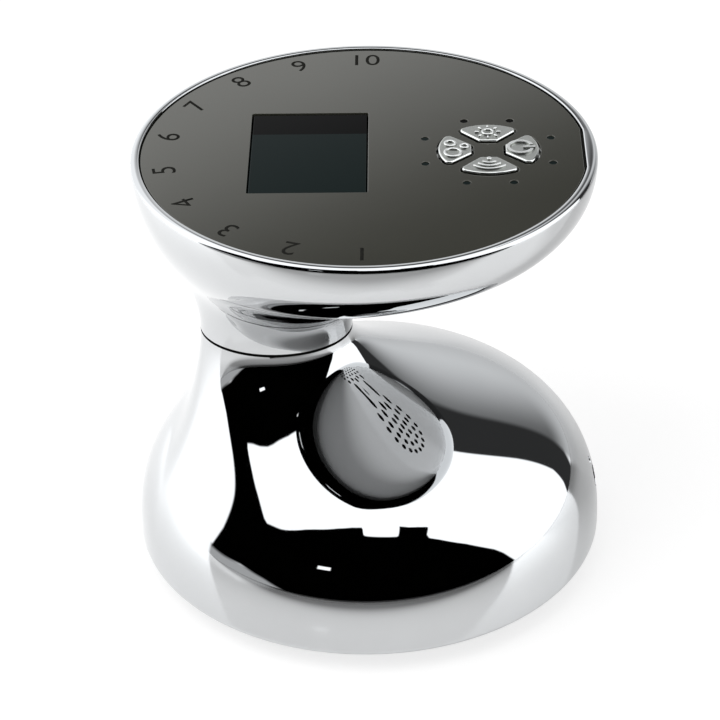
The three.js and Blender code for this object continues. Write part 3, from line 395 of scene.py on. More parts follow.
# The charge light is a short pipe on a block, in a small hole above the socket
blockHalf = port["blockWidth"] / 2
chargeLight = box("chargeLight", (port["blockX"], 0), port["blockWidth"], port["blockWidth"],
                  port["lightZ"] - blockHalf, port["lightZ"] + blockHalf)
lightPipe = barAlongX(
    "lightPipe", port["blockX"], port["pipeTo"], port["lightZ"], port["pipeRadius"], port["pinSides"])
carve(chargeLight, lightPipe, "UNION")
roundEdges(chargeLight, port["blockEdge"], 2, 50)
smoothFlat(chargeLight, 35)
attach(chargeLight, "housing")
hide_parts("charge_light")
carve(bodyShell, joinAll([portBar("portHole", port["holeRadius"]), barAlongX(
    "lightHole", port["from"], port["to"], port["lightZ"], port["lightRadius"], port["lightSides"])]))
smooth(bodyShell)
for shell, node in ((headShell, "head_shell"), (bodyShell, "body_shell")):
    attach(shell, "housing")
    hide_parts(node)
print("shells wrapped")

# Control panel

panel = {"radius": 50.0, "topZ": 104.9, "bottomZ": 103.4, "flatX": 49.0, "edge": 0.12, "sides": 288,
         "cut": (100, 108)}
window = {"x": -12.3, "width": 26.65, "length": 37.0, "corner": 0.4}
cluster = {
    "x": 28.05, "outer": 11.3, "innerReach": 3.8, "innerHalf": 1.9, "tipHalf": 6.75, "outerCorner": 1.15,
    "innerCorner": 0.65, "rootSteps": 6, "tipSteps": 10, "arcSteps": 20, "gap": 0.45, "topZ": 105.46,
    "edge": 0.42, "flangeTopZ": 103.1, "flangeLowZ": 102.1, "flangeLip": 0.9, "stemReach": 7.6,
    "stemRadius": 1.85, "stemLowZ": 99.3, "stemTopZ": 102.5, "stemSides": 32, "markReach": 7.3,
    "markSink": 0.3, "markHeight": 0.42, "markEdge": 0.2,
}
dots = {"sideX": 14.2, "sideY": 5.8, "endX": 5.2, "topY": 14.05, "lowY": -14.6, "radius": 0.9, "sides": 28}
guide = {"inner": 13.9, "outer": 16.5, "lowZ": 101.2, "thickness": 1.4, "sides": 96, "pinRadius": 0.8,
         "pinTopZ": 104.7, "pinSink": 0.2, "pinSides": 24}
seal = {"outer": 50.32, "inner": 50.03, "outerFlat": 49.59, "innerFlat": 49.03, "lowZ": 103.4, "topZ": 104.35}
dotSpots = [(cluster["x"] + hand * across, y) for hand in (1, -1) for across, y in (
    (dots["sideX"], dots["sideY"]), (dots["sideX"], -dots["sideY"]), (dots["endX"], dots["topY"]),
    (dots["endX"], dots["lowY"]))]


# Points on an arc, with angles in radians
def arcPoints(centre, radius, fromAngle, toAngle, count):
    return [(centre[0] + radius * math.cos(a), centre[1] + radius * math.sin(a))
            for a in (fromAngle + (toAngle - fromAngle) * k / count for k in range(count + 1))]


# A solid with the outline of a button on the +Y side of the cluster, grown all round: an arc
# outside, slanted sides, a short straight edge inside, and rounded corners between them
def petalBlank(name, grow, lowZ, highZ):
    outer, inner = cluster["outer"] + grow, cluster["innerReach"] - grow
    tip, root = cluster["outerCorner"] + grow, cluster["innerCorner"] + grow
    tipReach = math.sqrt(cluster["outer"] ** 2 - cluster["tipHalf"] ** 2)
    along = Vector((cluster["tipHalf"] - cluster["innerHalf"], tipReach - cluster["innerReach"])).normalized()
    inward = Vector((-along.y, along.x))
    start = Vector((cluster["innerHalf"], cluster["innerReach"])) - inward * grow
    tipLine = start + inward * tip
    project = tipLine.dot(along)
    toArc = math.sqrt(project ** 2 - tipLine.length_squared + (outer - tip) ** 2)
    tipCentre = tipLine + along * (toArc - project)
    rootLine = start + inward * root
    rootCentre = rootLine + along * ((inner + root - rootLine.y) / along.y)
    outOfSide = math.atan2(-inward.y, -inward.x)
    tipAngle = math.atan2(tipCentre.y, tipCentre.x)
    half = (arcPoints(rootCentre, root, -quarterTurn, outOfSide, cluster["rootSteps"])
            + arcPoints(tipCentre, tip, outOfSide, tipAngle, cluster["tipSteps"])
            + arcPoints((0, 0), outer, tipAngle, quarterTurn, cluster["arcSteps"])[1:])
    outline = half + [(-x, y) for x, y in half[-2::-1]]
    deselectAll()
    bpy.ops.mesh.primitive_circle_add(vertices=len(outline), radius=1, fill_type="NGON")
    piece = named(name)
    piece.data.vertices.foreach_set("co", [
        value for x, y in outline for value in ((cluster["x"] + x) * mm, y * mm, lowZ * mm)])
    activate(piece)
    bpy.ops.object.mode_set(mode="EDIT")
    bpy.ops.mesh.select_all(action="SELECT")
    bpy.ops.mesh.extrude_region_move(TRANSFORM_OT_translate={"value": (0, 0, (highZ - lowZ) * mm)})
    bpy.ops.mesh.select_all(action="SELECT")
    bpy.ops.mesh.normals_make_consistent(inside=False)
    bpy.ops.object.mode_set(mode="OBJECT")
    return piece


def turnedRound(piece, turns):
    spin = Matrix.Translation((cluster["x"] * mm, 0, 0)) @ Matrix.Rotation(quarterTurn * turns, 4, "Z")
    piece.data.transform(spin @ Matrix.Translation((-cluster["x"] * mm, 0, 0)))
    return piece


# A disc with one flat on its edge
def flattenedDisc(name, radius, flatX, lowZ, highZ):
    return cutAway(cylinder(name, (0, 0), radius, lowZ, highZ, panel["sides"]), (flatX, 0, 0), (1, 0, 0))


controlPanel = flattenedDisc("controlPanel", panel["radius"], panel["flatX"], panel["bottomZ"], panel["topZ"])
opening = box("opening", (window["x"], 0), window["width"], window["length"], *panel["cut"])
roundSome(opening, window["corner"], lambda edge: abs(edge.verts[0].co.z - edge.verts[1].co.z) > mm)
cuts = [opening]
for turns in range(4):
    cuts.append(turnedRound(petalBlank("petalHole", cluster["gap"], *panel["cut"]), turns))
cuts += [cylinder("dotHole", spot, dots["radius"], *panel["cut"], dots["sides"])
         for spot in dotSpots]
carve(controlPanel, joinAll(cuts))
roundEdges(controlPanel, panel["edge"], 2)
smoothFlat(controlPanel)
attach(controlPanel, "housing")
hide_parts("control_panel")

# A thin black strip seals the panel in its pocket
panelSeal = flattenedDisc("panelSeal", seal["outer"], seal["outerFlat"], seal["lowZ"], seal["topZ"])
carve(panelSeal, flattenedDisc(
    "sealInside", seal["inner"], seal["innerFlat"], seal["lowZ"] - overrun, seal["topZ"] + overrun))
smooth(panelSeal)
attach(panelSeal, "housing")

# The pins of the light guide end in the panel's dots
lightGuide = flatRing("lightGuide", (cluster["x"], 0), guide["inner"], guide["outer"], guide["lowZ"],
                      guide["lowZ"] + guide["thickness"], guide["sides"])
for spot in dotSpots:
    carve(lightGuide, cylinder("pin", spot, guide["pinRadius"], guide["lowZ"] + guide["pinSink"],
                               guide["pinTopZ"], guide["pinSides"]), "UNION")
smooth(lightGuide)
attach(lightGuide, "housing")
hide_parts("indicator_light_guide")
print("panel cut")

# Display window, with its flange under the panel

lens = {"gap": 0.3, "topZ": 104.6, "flangeTopZ": 103.1, "lowZ": 102.3, "flange": 1.8, "edge": 0.25}
displayWindow = box("displayWindow", (window["x"], 0), window["width"] - 2 * lens["gap"],
                    window["length"] - 2 * lens["gap"], lens["lowZ"], lens["topZ"])
carve(displayWindow, box("lensFlange", (window["x"], 0), window["width"] + 2 * lens["flange"],
                         window["length"] + 2 * lens["flange"], lens["lowZ"], lens["flangeTopZ"]), "UNION")
roundEdges(displayWindow, lens["edge"], 3)
smoothFlat(displayWindow)
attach(displayWindow, "housing")
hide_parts("display_window")

# Buttons, and the raised marks on them. Every mark is drawn on the first button, and turned with its own.

markSpot = (cluster["x"], cluster["markReach"])
markLowZ = cluster["topZ"] - cluster["markSink"]
markTopZ = cluster["topZ"] + cluster["markHeight"]
sun = {"ring": 0.95, "line": 0.42, "rays": 8, "rayFrom": 1.55, "rayTo": 2.35, "rayLine": 0.36}
bubbles = [(-1.5, 0.5, 1.25, 0.45), (1.4, 0.9, 0.8, 0.4), (0.5, -1.3, 0.6, 0.36)]  # x, y, radius, line
waves = {"drop": 1.7, "dot": 0.45, "dotSides": 24, "rings": (1.5, 2.6, 3.7), "line": 0.42, "halfAngle": 0.85}
onOff = {"ring": 1.8, "line": 0.45, "drop": 0.1, "gapRise": 1.9, "gapWidth": 1.3, "gapLength": 2.0,
         "barFrom": 0.3, "barTo": 2.1}


def ringMark(spot, radius, line, sides=48):
    return flatRing("ringMark", spot, radius - line / 2, radius + line / 2, markLowZ, markTopZ, sides)


def barMark(fromSpot, toSpot, line):
    along = Vector(toSpot) - Vector(fromSpot)
    middle = (Vector(toSpot) + Vector(fromSpot)) / 2
    bar = box("barMark", (0, 0), along.length, line, markLowZ, markTopZ)
    turn = Matrix.Rotation(math.atan2(along.y, along.x), 4, "Z")
    bar.data.transform(Matrix.Translation((middle.x * mm, middle.y * mm, 0)) @ turn)
    return bar


def sunMark():
    middle = Vector(markSpot)
    rays = [Vector(spot) for spot in roundPlaces(sun["rays"], 1)]
    return [ringMark(markSpot, sun["ring"], sun["line"])] + [
        barMark(middle + ray * sun["rayFrom"], middle + ray * sun["rayTo"], sun["rayLine"]) for ray in rays]


def bubbleMark():
    return [ringMark((markSpot[0] + x, markSpot[1] + y), radius, line) for x, y, radius, line in bubbles]


def waveMark():
    x, y = markSpot[0], markSpot[1] - waves["drop"]
    parts = [cylinder("dotMark", (x, y), waves["dot"], markLowZ, markTopZ, waves["dotSides"])]
    for radius in waves["rings"]:
        arc = ringMark((x, y), radius, waves["line"], 72)
        for hand in (1, -1):
            cutAway(arc, (x, y, 0), (hand * math.cos(waves["halfAngle"]), -math.sin(waves["halfAngle"]), 0))
        parts.append(arc)
    return parts


def powerMark():
    x, y = markSpot
    gap = box("gap", (x, y + onOff["gapRise"]), onOff["gapWidth"], onOff["gapLength"],
              markLowZ - overrun, markTopZ + overrun)
    ring = ringMark((x, y - onOff["drop"]), onOff["ring"], onOff["line"], 72)
    carve(ring, gap)
    return [ring, barMark((x, y + onOff["barFrom"]), (x, y + onOff["barTo"]), onOff["line"])]


# How each mark is drawn, and how much it is then enlarged
marks = {"light": (sunMark, 1.25), "cavitation": (bubbleMark, 1.45), "radio": (waveMark, 1.25),
         "power": (powerMark, 1.5)}
for turns, (name, (makeMark, size)) in enumerate(marks.items()):
    cap = petalBlank(name + "Button", 0, cluster["flangeLowZ"], cluster["topZ"])
    roundSome(cap, cluster["edge"], lambda edge: all(
        abs(corner.co.z - cluster["topZ"] * mm) < tiny for corner in edge.verts))
    flange = petalBlank("flange", cluster["flangeLip"], cluster["flangeLowZ"], cluster["flangeTopZ"])
    carve(cap, flange, "UNION")
    carve(cap, cylinder("stem", (cluster["x"], cluster["stemReach"]), cluster["stemRadius"],
                        cluster["stemLowZ"], cluster["stemTopZ"], cluster["stemSides"]), "UNION")
    smoothFlat(turnedRound(cap, turns))
    mark = joinAll(makeMark())
    toSpot = Matrix.Translation((markSpot[0] * mm, markSpot[1] * mm, 0))
    mark.data.transform(toSpot @ Matrix.Diagonal((size, size, 1, 1)) @ toSpot.inverted())
    mark.name = mark.data.name = name + "Mark"
    roundEdges(mark, cluster["markEdge"], 3)
    smoothFlat(turnedRound(mark, turns))
    for piece in (cap, mark):
        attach(piece, name + "_key")
    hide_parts(name + "_button")
print("buttons pressed out")

# Numerals round the left half of the panel

numerals = {"count": 10, "reach": 44.7, "size": 7.6, "thin": -0.004, "start": -90, "step": -20,
            "lowZ": 104.902, "height": 0.012, "curveSteps": 6}
signs = []
for k in range(numerals["count"]):
    angle = math.radians(numerals["start"] + numerals["step"] * k)
    deselectAll()
    bpy.ops.object.text_add()
    sign = bpy.context.object
    sign.data.body = str(k + 1)
    sign.data.size = numerals["size"]
    sign.data.offset = numerals["thin"]
    sign.data.resolution_u = numerals["curveSteps"]
    sign.data.align_x, sign.data.align_y = "CENTER", "CENTER"
    bpy.ops.object.convert(target="MESH")
    place = Matrix.Translation((numerals["reach"] * math.cos(angle) * mm,
                                numerals["reach"] * math.sin(angle) * mm, numerals["lowZ"] * mm))
    sign = bpy.context.object
    sign.data.transform(place @ Matrix.Rotation(angle - quarterTurn, 4, "Z") @ Matrix.Scale(mm, 4))
    signs.append(sign)
numeralPrint = joinAll(signs)
numeralPrint.name = numeralPrint.data.name = "numeralPrint"
addModifier(numeralPrint, "SOLIDIFY", thickness=numerals["height"] * mm, offset=0)
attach(numeralPrint, "housing")
print("numerals printed")

# Treatment base, which stands on the table and isn't in the photograph

base = {
    "radius": 46.7, "faceZ": 1.2, "topZ": 4.4, "bore": 20.8, "boreEdge": 0.3, "sides": 192, "edge": 0.15,
    "rim": [(0.9, 0), (0.4, 0.14), (0.1, 0.5), (0, 0.9)],  # in from the radius, up from the face
    "postReach": 39.0, "postRadius": 2.5, "postTopZ": 8.7, "grooveInner": 24.2, "grooveOuter": 27.2,
    "grooveTopZ": 2.6, "ledReach": 25.7, "ledHole": 1.2, "ledHoleLowZ": 0.5, "electrodeReach": 32.0,
    "stemHole": 2.1, "screwReach": 41.0, "screwHole": 1.5, "counterbore": 2.8, "counterboreTopZ": 3.4,
    "holeTopZ": 6, "holeSides": 24, "counterboreSides": 36,
}
# Half sections of the pieces that stand in the plate, as [radius, height] pairs
ringSection = [(24.51, 2.3), (24.51, 1.55), (24.7, 1.3), (25.1, 1.2), (26.3, 1.2), (26.7, 1.3), (26.9, 1.55),
               (26.9, 2.3), (24.51, 2.3)]
cupSection = [
    (0.05, 0.1), (6, 0.07), (14, 0.02), (17.2, 0), (17.4, 0.12), (17.9, 0.12), (18.1, 0), (19.3, 0),
    (19.9, 0.14), (20.3, 0.5), (20.5, 0.95), (20.5, 5.8), (23.1, 5.8), (23.1, 7.0), (19.5, 7.0),
    (19.5, 2.2), (0.05, 2.2)]
electrodeSection = [(0.05, 0), (1.4, 0), (2.4, 0.1), (3.1, 0.3), (3.42, 0.55), (3.5, 0.75), (3.5, 0.9),
                    (1.8, 0.9), (1.8, 4.4), (0.05, 4.4)]
screwSection = [(0.05, 1.35), (2.0, 1.35), (2.4, 1.7), (2.4, 3.35), (1.2, 3.35), (1.2, 11.0), (0.05, 11.0)]
screwSlot = {"length": 3.0, "width": 0.7, "lowZ": 0.5, "topZ": 2.3}
electrodePlaces = roundPlaces(4, base["electrodeReach"])
screwPlaces = roundPlaces(4, base["screwReach"], math.pi / 4)


def baseHole(spot, radius, lowZ=0.0):
    return cylinder("hole", spot, radius, lowZ, base["holeTopZ"], base["holeSides"])


boreFoot = (base["bore"], base["faceZ"] + base["boreEdge"])
rim = [(base["radius"] - inward, base["faceZ"] + up) for inward, up in base["rim"]]
basePlate = turnedPiece("basePlate", (0, 0), [
    boreFoot, (base["bore"] + base["boreEdge"], base["faceZ"]), *rim, (base["radius"], base["topZ"]),
    (base["bore"], base["topZ"]), boreFoot], base["sides"])
posts = [cylinder("post", spot, base["postRadius"], base["topZ"] - overrun, base["postTopZ"],
                  base["holeSides"]) for spot in roundPlaces(4, base["postReach"])]
carve(basePlate, joinAll(posts), "UNION")
cuts = [flatRing("groove", (0, 0), base["grooveInner"], base["grooveOuter"], 0, base["grooveTopZ"],
                 base["sides"])]
cuts += [baseHole(spot, base["ledHole"], base["ledHoleLowZ"])
         for spot in roundPlaces(8, base["ledReach"], math.pi / 8)]
cuts += [baseHole(spot, base["stemHole"]) for spot in electrodePlaces]
for spot in screwPlaces:
    cuts += [baseHole(spot, base["screwHole"]), cylinder(
        "counterbore", spot, base["counterbore"], 0, base["counterboreTopZ"], base["counterboreSides"])]
for cut in cuts:
    carve(basePlate, cut)
roundEdges(basePlate, base["edge"], 2, 50)
smoothFlat(basePlate, 35)

lightWindow = smooth(turnedPiece("lightWindow", (0, 0), ringSection, base["sides"]))
sonicCup = smooth(turnedPiece("sonicCup", (0, 0), cupSection, base["sides"]))
electrode = smooth(turnedPiece("electrode", (0, 0), electrodeSection, 64))
screw = turnedPiece("screw", (0, 0), screwSection, 40)
cross = [box("slot", (0, 0), width, length, screwSlot["lowZ"], screwSlot["topZ"]) for width, length in (
    (screwSlot["length"], screwSlot["width"]), (screwSlot["width"], screwSlot["length"]))]
carve(screw, joinAll(cross))
smooth(screw)


# Copies of a piece made about the main axis, each with its own mesh; the first one is moved itself
def copiesAt(piece, spots):
    shape = piece.data.copy()
    copies = []
    for k, spot in enumerate(spots):
        copy = piece if k == 0 else bpy.data.objects.new(f"{piece.name}{k + 1}", shape.copy())
        if k:
            bpy.context.collection.objects.link(copy)
        copy.data.transform(Matrix.Translation((spot[0] * mm, spot[1] * mm, 0)))
        copies.append(copy)
    return copies


electrodes = copiesAt(electrode, electrodePlaces)
screws = copiesAt(screw, screwPlaces)
basePieces = [(basePlate, "base_plate", "white_plastic"),
              (lightWindow, "light_window_ring", "frosted_plastic"),
              (sonicCup, "sonic_head", "stainless_steel")]
basePieces += [(piece, f"rf_electrode_{k + 1}", "stainless_steel") for k, piece in enumerate(electrodes)]
basePieces += [(piece, f"base_screw_{k + 1}", "zinc_steel") for k, piece in enumerate(screws)]
for piece, node, slot in basePieces:
    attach(piece, "housing")
    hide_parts(node)
print("base assembled")

# Finishes. Node sockets are wrapped, so that they add and multiply as plain numbers do.


class Wire:
    tree = None  # the node tree that is being written

    def __init__(self, socket):
        self.socket = socket

    # Any node: its type, its settings, set first, and the values or links of its inputs
    @classmethod
    def node(cls, kind, settings=None, inputs=None, output=0):
        made = cls.tree.nodes.new("ShaderNode" + kind)
        for key, value in (settings or {}).items():
            if key == "bends":
                line = made.mapping.curves[0]
                for k, spot in enumerate(value):
                    bend = line.points[k] if k < 2 else line.points.new(*spot)
                    bend.location, bend.handle_type = spot, "VECTOR"
                made.mapping.update()
            else:
                setattr(made, key, value)
        for key, value in (inputs or {}).items():
            socket = made.inputs[key]
            if isinstance(value, Wire):
                cls.tree.links.new(value.socket, socket)
            elif isinstance(value, tuple) and socket.type == "RGBA":
                socket.default_value = (*value, 1)[:4]
            else:
                socket.default_value = value
        return cls(made.outputs[output] if made.outputs else None)

    @classmethod
    def maths(cls, operation, first, second=0.0):
        return cls.node("Math", {"operation": operation}, {0: first, 1: second})

    def __add__(self, other):
        return Wire.maths("ADD", self, other)

    def __sub__(self, other):
        return Wire.maths("SUBTRACT", self, other)

    def __rsub__(self, other):
        return Wire.maths("SUBTRACT", other, self)

    def __mul__(self, other):
        return Wire.maths("MULTIPLY", self, other)

    __radd__ = __add__
    __rmul__ = __mul__


def newTree(block):
    block.use_nodes = True
    Wire.tree = block.node_tree
    Wire.tree.nodes.clear()
    return block


def spread(vector):
    return [Wire.node("SeparateXYZ", inputs={0: vector}, output=k) for k in range(3)]


# 0 at low and below, 1 at high and above, soft between
def rising(value, low, high):
    return Wire.node("MapRange", {"interpolation_type": "SMOOTHSTEP"},
                     {"Value": value, "From Min": low, "From Max": high})


def between(value, low, high, soft):
    return rising(value, low - soft, low + soft) * (1 - rising(value, high - soft, high + soft))


def blend(share, first, second):
    return Wire.node("Mix", {"data_type": "RGBA"}, {0: share, 6: first, 7: second}, 2)


def objectPlace():
    return Wire.node("TexCoord", output=3)


# Cloudy noise from 0 to 1, with clouds of a given size in mm
def clouds(size, detail=2.0):
    spot = Wire.node("Mapping", inputs={"Vector": objectPlace(), "Scale": (1 / (size * mm),) * 3})
    return Wire.node("TexNoise", inputs={"Vector": spot, "Scale": 1.0, "Detail": detail})


# The two colours of a finish, in clouds
def shades(look, detail=2.0):
    return blend(clouds(look["cloud"], detail), look["dark"], look["light"])


# Roughness that varies a little, as on a wiped surface
def polish(look):
    return look["polish"] + look["haze"] * clouds(look["hazeCloud"])


# Even ridges from 0 to 1, with a pitch in mm
def ridges(value, pitch):
    return Wire.maths("SINE", value * (2 * math.pi / (pitch * mm))) * 0.5 + 0.5


def bump(height, depth):
    return Wire.node("Bump", inputs={"Height": height, "Strength": 1.0, "Distance": depth * mm})


socketNames = {"metallic": "Metallic", "ior": "IOR", "coat": "Coat Weight", "tint": "Specular Tint",
               "glow": "Emission Color", "glowStrength": "Emission Strength"}


def mixed(share, first, second):
    return Wire.node("MixShader", inputs={0: share, 1: first, 2: second})


def surface(colour, roughness, normal=None, **numbers):
    inputs = {"Base Color": colour, "Roughness": roughness}
    if normal is not None:
        inputs["Normal"] = normal
    for key, value in numbers.items():
        inputs[socketNames[key]] = value
    return Wire.node("BsdfPrincipled", inputs=inputs)


def finish(name, makeSurface):
    material = newTree(bpy.data.materials.new(name))
    Wire.node("OutputMaterial", inputs={"Surface": makeSurface()})
    return material


def wear(piece, material):
    piece.data.materials.clear()
    piece.data.materials.append(material)


plating = {"light": (0.570, 0.578, 0.585), "dark": (0.530, 0.538, 0.545), "cloud": 14, "polish": 0.012,
           "haze": 0.02, "hazeCloud": 5}
smoke = {"light": (0.034, 0.034, 0.027), "dark": (0.026, 0.026, 0.020), "cloud": 30, "polish": 0.03,
         "haze": 0.02, "hazeCloud": 2.5, "ior": 1.82, "tint": (1.0, 0.985, 0.92)}
lensTint = {"far": (0.0, 0.0, 0.0), "near": (0.007, 0.012, 0.012), "bandY": 8.9, "bandSoft": 0.1,
            "polish": 0.05, "haze": 0.02, "hazeCloud": 6, "ior": 1.12}
satin = {"light": (0.50, 0.51, 0.488), "dark": (0.37, 0.38, 0.363), "edge": (0.74, 0.75, 0.74), "rough": 0.30,
         "edgeRough": 0.08, "cloud": 0.16, "depth": 0.01, "topFrom": -0.12, "topTo": -0.02,
         "raisedFrom": 0.2, "raisedTo": 0.32}


def platedSurface():
    return surface(shades(plating, 3), polish(plating), metallic=1.0)


def smokedSurface():
    return surface(shades(smoke), polish(smoke), ior=smoke["ior"], tint=smoke["tint"])


# The window is black beyond bandY, on its far side, and slightly blue on its near side
def lensSurface():
    y = spread(objectPlace())[1]
    near = rising(y, (lensTint["bandY"] + lensTint["bandSoft"]) * mm,
                  (lensTint["bandY"] - lensTint["bandSoft"]) * mm)
    return surface(blend(near, lensTint["far"], lensTint["near"]), polish(lensTint), ior=lensTint["ior"])


# Satin tops with fine marks, polished along the edges
def buttonSurface():
    aboveTop = spread(objectPlace())[2] - cluster["topZ"] * mm
    top = rising(aboveTop, satin["topFrom"] * mm, satin["topTo"] * mm)
    raised = rising(aboveTop, satin["raisedFrom"] * mm, satin["raisedTo"] * mm)
    fine = clouds(satin["cloud"], 3)
    colour = blend(raised, blend(fine, satin["dark"], satin["light"]), satin["edge"])
    rough = satin["edgeRough"] + (satin["rough"] - satin["edgeRough"]) * top
    return surface(blend(top, satin["edge"], colour), rough, bump(fine * top, satin["depth"]), metallic=1.0)


# Even finishes: colours of the clouds, their size in mm, roughness, depth of the grain in mm
roughSpread = 0.12
evenFinishes = {
    "black_plastic": ((0.020, 0.020, 0.022), (0.034, 0.034, 0.036), 0.5, 0.45, 0.010, {}),
    "black_rubber": ((0.014, 0.014, 0.015), (0.026, 0.026, 0.027), 0.8, 0.75, 0.012, {}),
    "white_plastic": ((0.70, 0.71, 0.72), (0.76, 0.77, 0.78), 6.0, 0.28, 0.002, {}),
    "frosted_plastic": ((0.66, 0.70, 0.73), (0.76, 0.80, 0.83), 1.2, 0.45, 0.006, {}),
    "wire_sheath": ((0.020, 0.020, 0.024), (0.040, 0.040, 0.046), 0.9, 0.6, 0.03, {}),
    "piezo_ceramic": ((0.55, 0.51, 0.40), (0.66, 0.62, 0.50), 0.7, 0.7, 0.008, {}),
    "contact_brass": ((0.62, 0.45, 0.18), (0.74, 0.56, 0.25), 1.5, 0.25, 0.003, {"metallic": 1.0}),
    "cell_wrap": ((0.035, 0.12, 0.34), (0.05, 0.16, 0.42), 3.0, 0.3, 0.004, {"coat": 0.5}),
    "ferrite": ((0.03, 0.03, 0.033), (0.06, 0.06, 0.062), 0.4, 0.65, 0.02, {}),
    "sink_aluminium": ((0.60, 0.61, 0.63), (0.74, 0.75, 0.77), 0.8, 0.38, 0.004, {"metallic": 1.0}),
    "zinc_steel": ((0.46, 0.47, 0.50), (0.60, 0.61, 0.64), 0.6, 0.32, 0.004, {"metallic": 1.0}),
    "display_glass": ((0.02, 0.03, 0.035), (0.03, 0.042, 0.048), 4.0, 0.12, 0.001, {}),
}


def evenSurface(dark, light, size, rough, depth, numbers):
    grain = clouds(size, 3)
    return surface(blend(grain, dark, light), rough + roughSpread * (grain - 0.5), bump(grain, depth),
                   **numbers)


# Solder mask over copper runs
board = {"mask": (0.012, 0.085, 0.04), "runs": (0.03, 0.16, 0.08), "height": 0.03, "polish": 0.32,
         "haze": 0.1, "hazeCloud": 2}
runPattern = {"Scale": 0.55, "Mortar Size": 0.06, "Mortar Smooth": 0.2, "Brick Width": 0.9, "Row Height": 0.5,
              "Color1": (0, 0, 0), "Color2": (0, 0, 0), "Mortar": (1, 1, 1)}


def boardSurface():
    spot = Wire.node("Mapping", inputs={"Vector": objectPlace(), "Scale": (1 / mm,) * 3})
    runs = Wire.node("TexBrick", {"offset": 0.5}, {"Vector": spot, **runPattern})
    return surface(blend(runs, board["mask"], board["runs"]), polish(board), bump(runs, board["height"]))


# Fine rings about the main axis, as a lathe leaves them
turned = {"dark": (0.58, 0.59, 0.60), "light": (0.70, 0.71, 0.72), "cloud": 8, "pitch": 0.22, "depth": 0.0015,
          "rough": 0.16, "ridgeRough": 0.1}


def turnedSurface():
    x, y = spread(objectPlace())[:2]
    lines = ridges(Wire.maths("SQRT", x * x + y * y), turned["pitch"])
    return surface(shades(turned), turned["rough"] + turned["ridgeRough"] * lines,
                   bump(lines, turned["depth"]), metallic=1.0)


# Wire wound round an upright core, darker in the hollows between turns as painted shade and lighter on their
# crests as painted highlight
winding = {"dark": (0.30, 0.11, 0.04), "light": (0.72, 0.34, 0.16), "pitch": 0.6, "depth": 0.12, "rough": 0.3}


def woundSurface():
    wireRidgesAndShade = ridges(spread(objectPlace())[2], winding["pitch"])
    # The ridges give the bumps, and also painted shade and highlight in the colour
    return surface(blend(wireRidgesAndShade, winding["dark"], winding["light"]), winding["rough"],
                   bump(wireRidgesAndShade, winding["depth"]), metallic=1.0)


# Print that mirrors next to nothing
darkPrint = {"dark": (0.012, 0.012, 0.011), "light": (0.020, 0.020, 0.018), "cloud": 0.5, "rough": 0.8,
             "ior": 1.02}


def printSurface():
    return surface(shades(darkPrint), darkPrint["rough"], ior=darkPrint["ior"])


finishes = {
    "shell_chrome": finish("platedShell", platedSurface),
    "smoked_panel": finish("smokedPanel", smokedSurface),
    "display_lens": finish("tintedLens", lensSurface),
    "button_chrome": finish("satinButton", buttonSurface),
    "circuit_board": finish("greenBoard", boardSurface),
    "stainless_steel": finish("turnedSteel", turnedSurface),
    "coil_copper": finish("woundCopper", woundSurface),
}
for slot, numbers in evenFinishes.items():
    firstWord, lastWord = (slot.split("_") + [""])[:2]
    finishes[slot] = finish(firstWord + lastWord.title(), lambda n=numbers: evenSurface(*n))
for row in frame["record"]["subparts"]:
    wear(frame["nodes"][row["node"]], finishes[row["material_slot"]])
for piece, slot in ((headShell, "shell_chrome"), (bodyShell, "shell_chrome"), (socketPin, "zinc_steel"),
                    (controlPanel, "smoked_panel"), (displayWindow, "display_lens"),
                    (lightGuide, "display_lens"), (socketRing, "black_plastic"),
                    (chargeLight, "frosted_plastic")):
    wear(piece, finishes[slot])
for piece, node, slot in basePieces:
    wear(piece, finishes[slot])
for name in marks:
    for ending in ("Button", "Mark"):
        wear(bpy.data.objects[name + ending], finishes["button_chrome"])
darkFinish = finish("darkPrint", printSurface)
for piece in (numeralPrint, panelSeal, frame["nodes"]["seam_gasket"]):
    wear(piece, darkFinish)
print("finishes made")

# Studio: white floor, soft light all round, and the cloths and cards that bright metal mirrors.
# Cards are placed by direction: turn is 0 towards the camera and grows to the right, rise is 0 level.

studio = {"matteLight": 0.86, "mirrorWhite": 1.9, "mirrorTint": (0.97, 0.985, 1.0), "cardEdge": 0.5}
blackCloth = {
    "left": [(0, -80.5), (5, -80), (12, -78.5), (20, -77), (28, -76.5), (35, -76), (70, -76)],
    "right": [(0, 72), (5, 70), (11, 68), (18, 65), (26, 60), (34, 55), (40, 50), (46, 45), (50, 40.5),
              (53, 41), (58, 47), (61, 40), (63, 33), (70, 30)],
    "top": [(-90, 50), (-75, 50), (-66.4, 47.8), (-62.4, 43.4), (-58, 47), (-53, 52), (-48, 56),
            (-43, 58.5), (-33, 62), (-27, 64), (-16, 66.3), (-6, 67), (-4, 60.5), (0, 60),
            (10, 59), (22, 57.5), (28, 65), (40, 61), (90, 61)],
    "low": [(-90, 4), (-77, 4.7), (-63, 6.8), (-50, 3.7), (-40, -1), (-36, -3), (90, -3)],
    "lowSoft": 1.5, "shade": 0.0,
}
darkBand = {
    "left": [(0, 117), (5, 119), (15, 121), (35, 121), (58, 120)],
    "right": [(0, 130), (5, 133), (15, 135), (25, 136.5), (35, 138), (45, 139), (58, 139)],
    "rightFrom": -2, "rightTo": 1, "topRise": 60, "topSoft": 1, "shade": 0.042,
}
greyBackdrop = {"from": 132, "to": 176, "soft": 2, "topRise": 51, "topSoft": 5, "dark": 0.18, "light": 0.93,
                "lightFrom": 134, "lightTo": 162, "level": 0.78, "levelFrom": -2, "levelTo": 13}
backLeft = {"from": -180, "to": -128, "soft": 6, "topRise": 45, "topSoft": 5, "shade": 1.5}
tableEdge = {"from": -80.5, "to": -30, "soft": 1, "topRise": 6.5, "topSoft": 1, "shade": 0.6}
farFade = {"from": 172, "soft": 3, "bright": 1.05, "dim": 0.12, "brightRise": 25.1, "dimRise": 31.1,
           "lean": 0.35}
